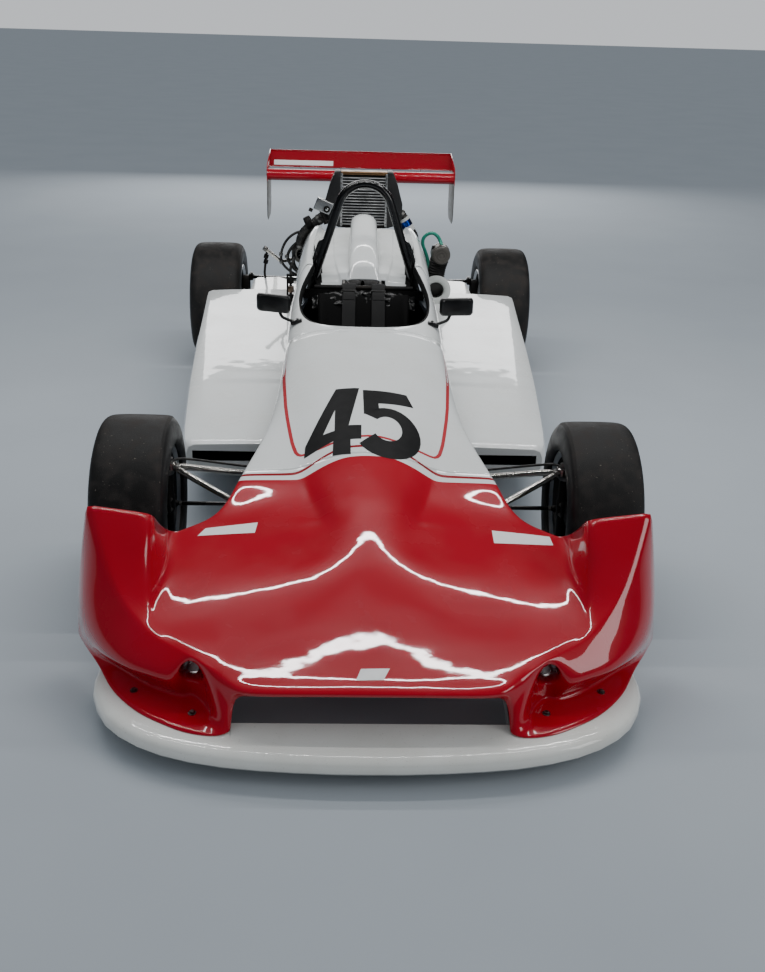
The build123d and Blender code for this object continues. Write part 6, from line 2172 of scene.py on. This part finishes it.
def build_fittings():
    """Small square camera on the cover, black strut and clamps beside the right pod."""
    # Corners of the camera's face as x and z
    corners = pts("-204 909, -132 878, -154 831, -224 858")
    outline = [at(x, 1886, z) for x, z in corners]
    parts = Kit()
    parts.prism("camera_body", outline, Vector((0, 0.026, 0)), "alloy", bevel=4)
    centre = at(-164, 1886, 857)
    parts.lathe("lens", pts("0 15, 4 15, 5 13, 5 9, 2 8, 2 0"), centre, (0, -1, 0), "black_cast", steps=40)
    parts.lathe("lens_glass", ((2, 8), (4, 5), (5, 0)), centre, (0, -1, 0), "glass", steps=32)
    for x0, z0, x1, z1, r in pts("-190 850 -172 812 8, -172 812 -166 790 10, -232 858 -238 845 9, "
        "-199 814 -154 800 7"):
        parts.tube("mount", [at(x0, 1896, z0), at(x1, 1892, z1)], r, "black_cast")
    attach(joined("small_camera", parts), BODY)

    route = pts("-458 2300 584, -464 2300 560, -466 2300 540, -474 2318 474, -474 2348 440")
    parts = Kit()
    parts.tube("strut", [at(*p) for p in route], 6, "black_cast")
    for p in ((-464, 2300, 556), (-466, 2302, 530)):
        parts.lathe("strut_joint", pts("-10 0, -10 12, 10 12, 10 0"), at(*p), (0.3, 0, 1), "black_cast",
            steps=6)
    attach(joined("pod_strut", parts), BODY)

    parts = Kit()
    parts.slab("bracket", at(-345, 1890, 402), at(-337, 1910, 560), "black_cast", bevel=2)
    parts.slab("bracket", at(-345, 1890, 552), at(-308, 1910, 560), "black_cast", bevel=2)
    for z in (452, 492, 532):
        parts.lathe("bracket_block", pts("-14 0, -14 13, -11 15, 11 15, 14 13, 14 0"), at(-326, 1900, z),
            (0, 0, 1), "exhaust" if z == 492 else "black_cast", steps=24)
    parts.tube("bracket_pipe", [at(-326, 1900, 402), at(-326, 1900, 590), at(-310, 1930, 630)], 6,
        "oil_hose")
    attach(joined("pod_bracket", parts), BODY)


def build_bay():
    build_turbo()
    build_boost_pipes()
    build_intake()
    build_fittings()


# Add-on: settings, one operator a group, panel

class RacingCarSettings(bpy.types.PropertyGroup):
    floor: bpy.props.BoolProperty(name="Studio floor", description="Add the floor and the lamps",
        default=True)
    spring_turns: bpy.props.FloatProperty(name="Spring turns", description="Turns of each coil spring",
        default=7.5, min=3, max=14)


class CAR_OT_body(bpy.types.Operator):
    """Builds the painted body panels"""
    bl_idname = "racing_car.body"
    bl_label = "Body"

    def execute(self, context):
        panels = build_nose_and_scuttle()
        build_surround()
        build_cover()
        for name, side in SIDES:
            build_pod(side, name)
        build_splitter()
        build_decals(panels)
        return {"FINISHED"}


class CAR_OT_wheels(bpy.types.Operator):
    """Builds the tyres, the rims and the discs"""
    bl_idname = "racing_car.wheels"
    bl_label = "Wheels"

    def execute(self, context):
        for end in RIMS:
            for name, side in SIDES:
                build_tyre(end, name)
                build_rim(end, name, side)
        return {"FINISHED"}


class CAR_OT_front(bpy.types.Operator):
    """Builds the front suspension, the front brakes and the steering rack"""
    bl_idname = "racing_car.front"
    bl_label = "Front Suspension"

    def execute(self, context):
        for name, side in SIDES:
            build_front_corner(side, name)
        build_rack()
        return {"FINISHED"}


class CAR_OT_drive(bpy.types.Operator):
    """Builds the engine, the gearbox and the rear suspension"""
    bl_idname = "racing_car.drive"
    bl_label = "Engine and Rear Suspension"

    def execute(self, context):
        build_engine()
        build_gearbox()
        for name, side in SIDES:
            build_rear_corner(side, name)
        build_rear_frame()
        build_bay()
        return {"FINISHED"}


class CAR_OT_rear(bpy.types.Operator):
    """Builds the hoop, the mirrors, the wing and the cooler"""
    bl_idname = "racing_car.rear"
    bl_label = "Hoop, Mirrors, Wing and Cooler"

    def execute(self, context):
        build_hoop()
        for name, side in SIDES:
            build_mirror(side, name)
        build_wing()
        build_cooler()
        return {"FINISHED"}


class CAR_OT_cockpit(bpy.types.Operator):
    """Builds the seat, the belts, the dash and the steering wheel"""
    bl_idname = "racing_car.cockpit"
    bl_label = "Cockpit"

    def execute(self, context):
        build_cockpit()
        return {"FINISHED"}


class CAR_OT_finish(bpy.types.Operator):
    """Gives each remaining construction piece its material"""
    bl_idname = "racing_car.finish"
    bl_label = "Finish"

    def execute(self, context):
        for node, piece in frame["nodes"].items():
            stem = node.removesuffix("_left").removesuffix("_right")
            piece.data.materials.clear()
            piece.data.materials.append(M[NODE_MATERIALS.get(stem, "plastic")])
        return {"FINISHED"}


class CAR_OT_stage(bpy.types.Operator):
    """Places the camera, floor and lamps"""
    bl_idname = "racing_car.stage"
    bl_label = "Stage"

    def execute(self, context):
        build_camera()
        if context.scene.racing_car.floor:
            build_floor()
        build_lights()
        return {"FINISHED"}


NODE_MATERIALS = {"nose": "red", "splitter": "splitter", "tub": "tub", "scuttle": "white",
    "cockpit_surround": "white", "engine_cover": "white", "undertray": "composite", "roll_hoop": "hoop",
    "rack": "plated", "rack_housing": "cast", "steering_wheel": "suede", "dash": "interior",
    "seat": "interior", "belts": "webbing", "engine": "cast", "gearbox": "cast",
    "spring_beam": "black_cast", "intercooler": "alloy", "rear_wing": "red", "endplates": "alloy",
    "wing_pylon": "alloy", "sidepod": "white", "front_tyre": "tread", "rear_tyre": "tread",
    "front_rim": "dark_rim", "rear_rim": "dark_rim", "front_knuckle": "black_cast", "front_arms": "plated",
    "rear_upright": "black_cast", "rear_shaft": "steel", "rear_arms": "hoop", "spring_leg": "spring",
    "mirror": "mirror_shell", "turbocharger": "cast", "boost_pipe": "hose", "air_intake": "hose",
    "rain_light": "glass"}


class CAR_PT_panel(bpy.types.Panel):
    bl_idname = "CAR_PT_panel"
    bl_label = "Racing Car"
    bl_space_type = "VIEW_3D"
    bl_region_type = "UI"
    bl_category = "Racing Car"

    def draw(self, context):
        settings = context.scene.racing_car
        self.layout.prop(settings, "floor")
        self.layout.prop(settings, "spring_turns")
        for operator in OPERATORS:
            self.layout.operator(operator.bl_idname)


OPERATORS = (CAR_OT_finish, CAR_OT_body, CAR_OT_wheels, CAR_OT_front, CAR_OT_drive, CAR_OT_rear,
    CAR_OT_cockpit, CAR_OT_stage)
CLASSES = (RacingCarSettings, *OPERATORS, CAR_PT_panel)


def register():
    for item in CLASSES:
        bpy.utils.register_class(item)
    bpy.types.Scene.racing_car = bpy.props.PointerProperty(type=RacingCarSettings)


def unregister():
    del bpy.types.Scene.racing_car
    for item in reversed(CLASSES):
        bpy.utils.unregister_class(item)


def main():
    register()
    make_materials()
    bpy.ops.racing_car.finish()
    bpy.ops.racing_car.body()
    bpy.ops.racing_car.wheels()
    bpy.ops.racing_car.front()
    bpy.ops.racing_car.drive()
    bpy.ops.racing_car.rear()
    bpy.ops.racing_car.cockpit()
    bpy.ops.racing_car.stage()


if __name__ == "__main__":
    main()
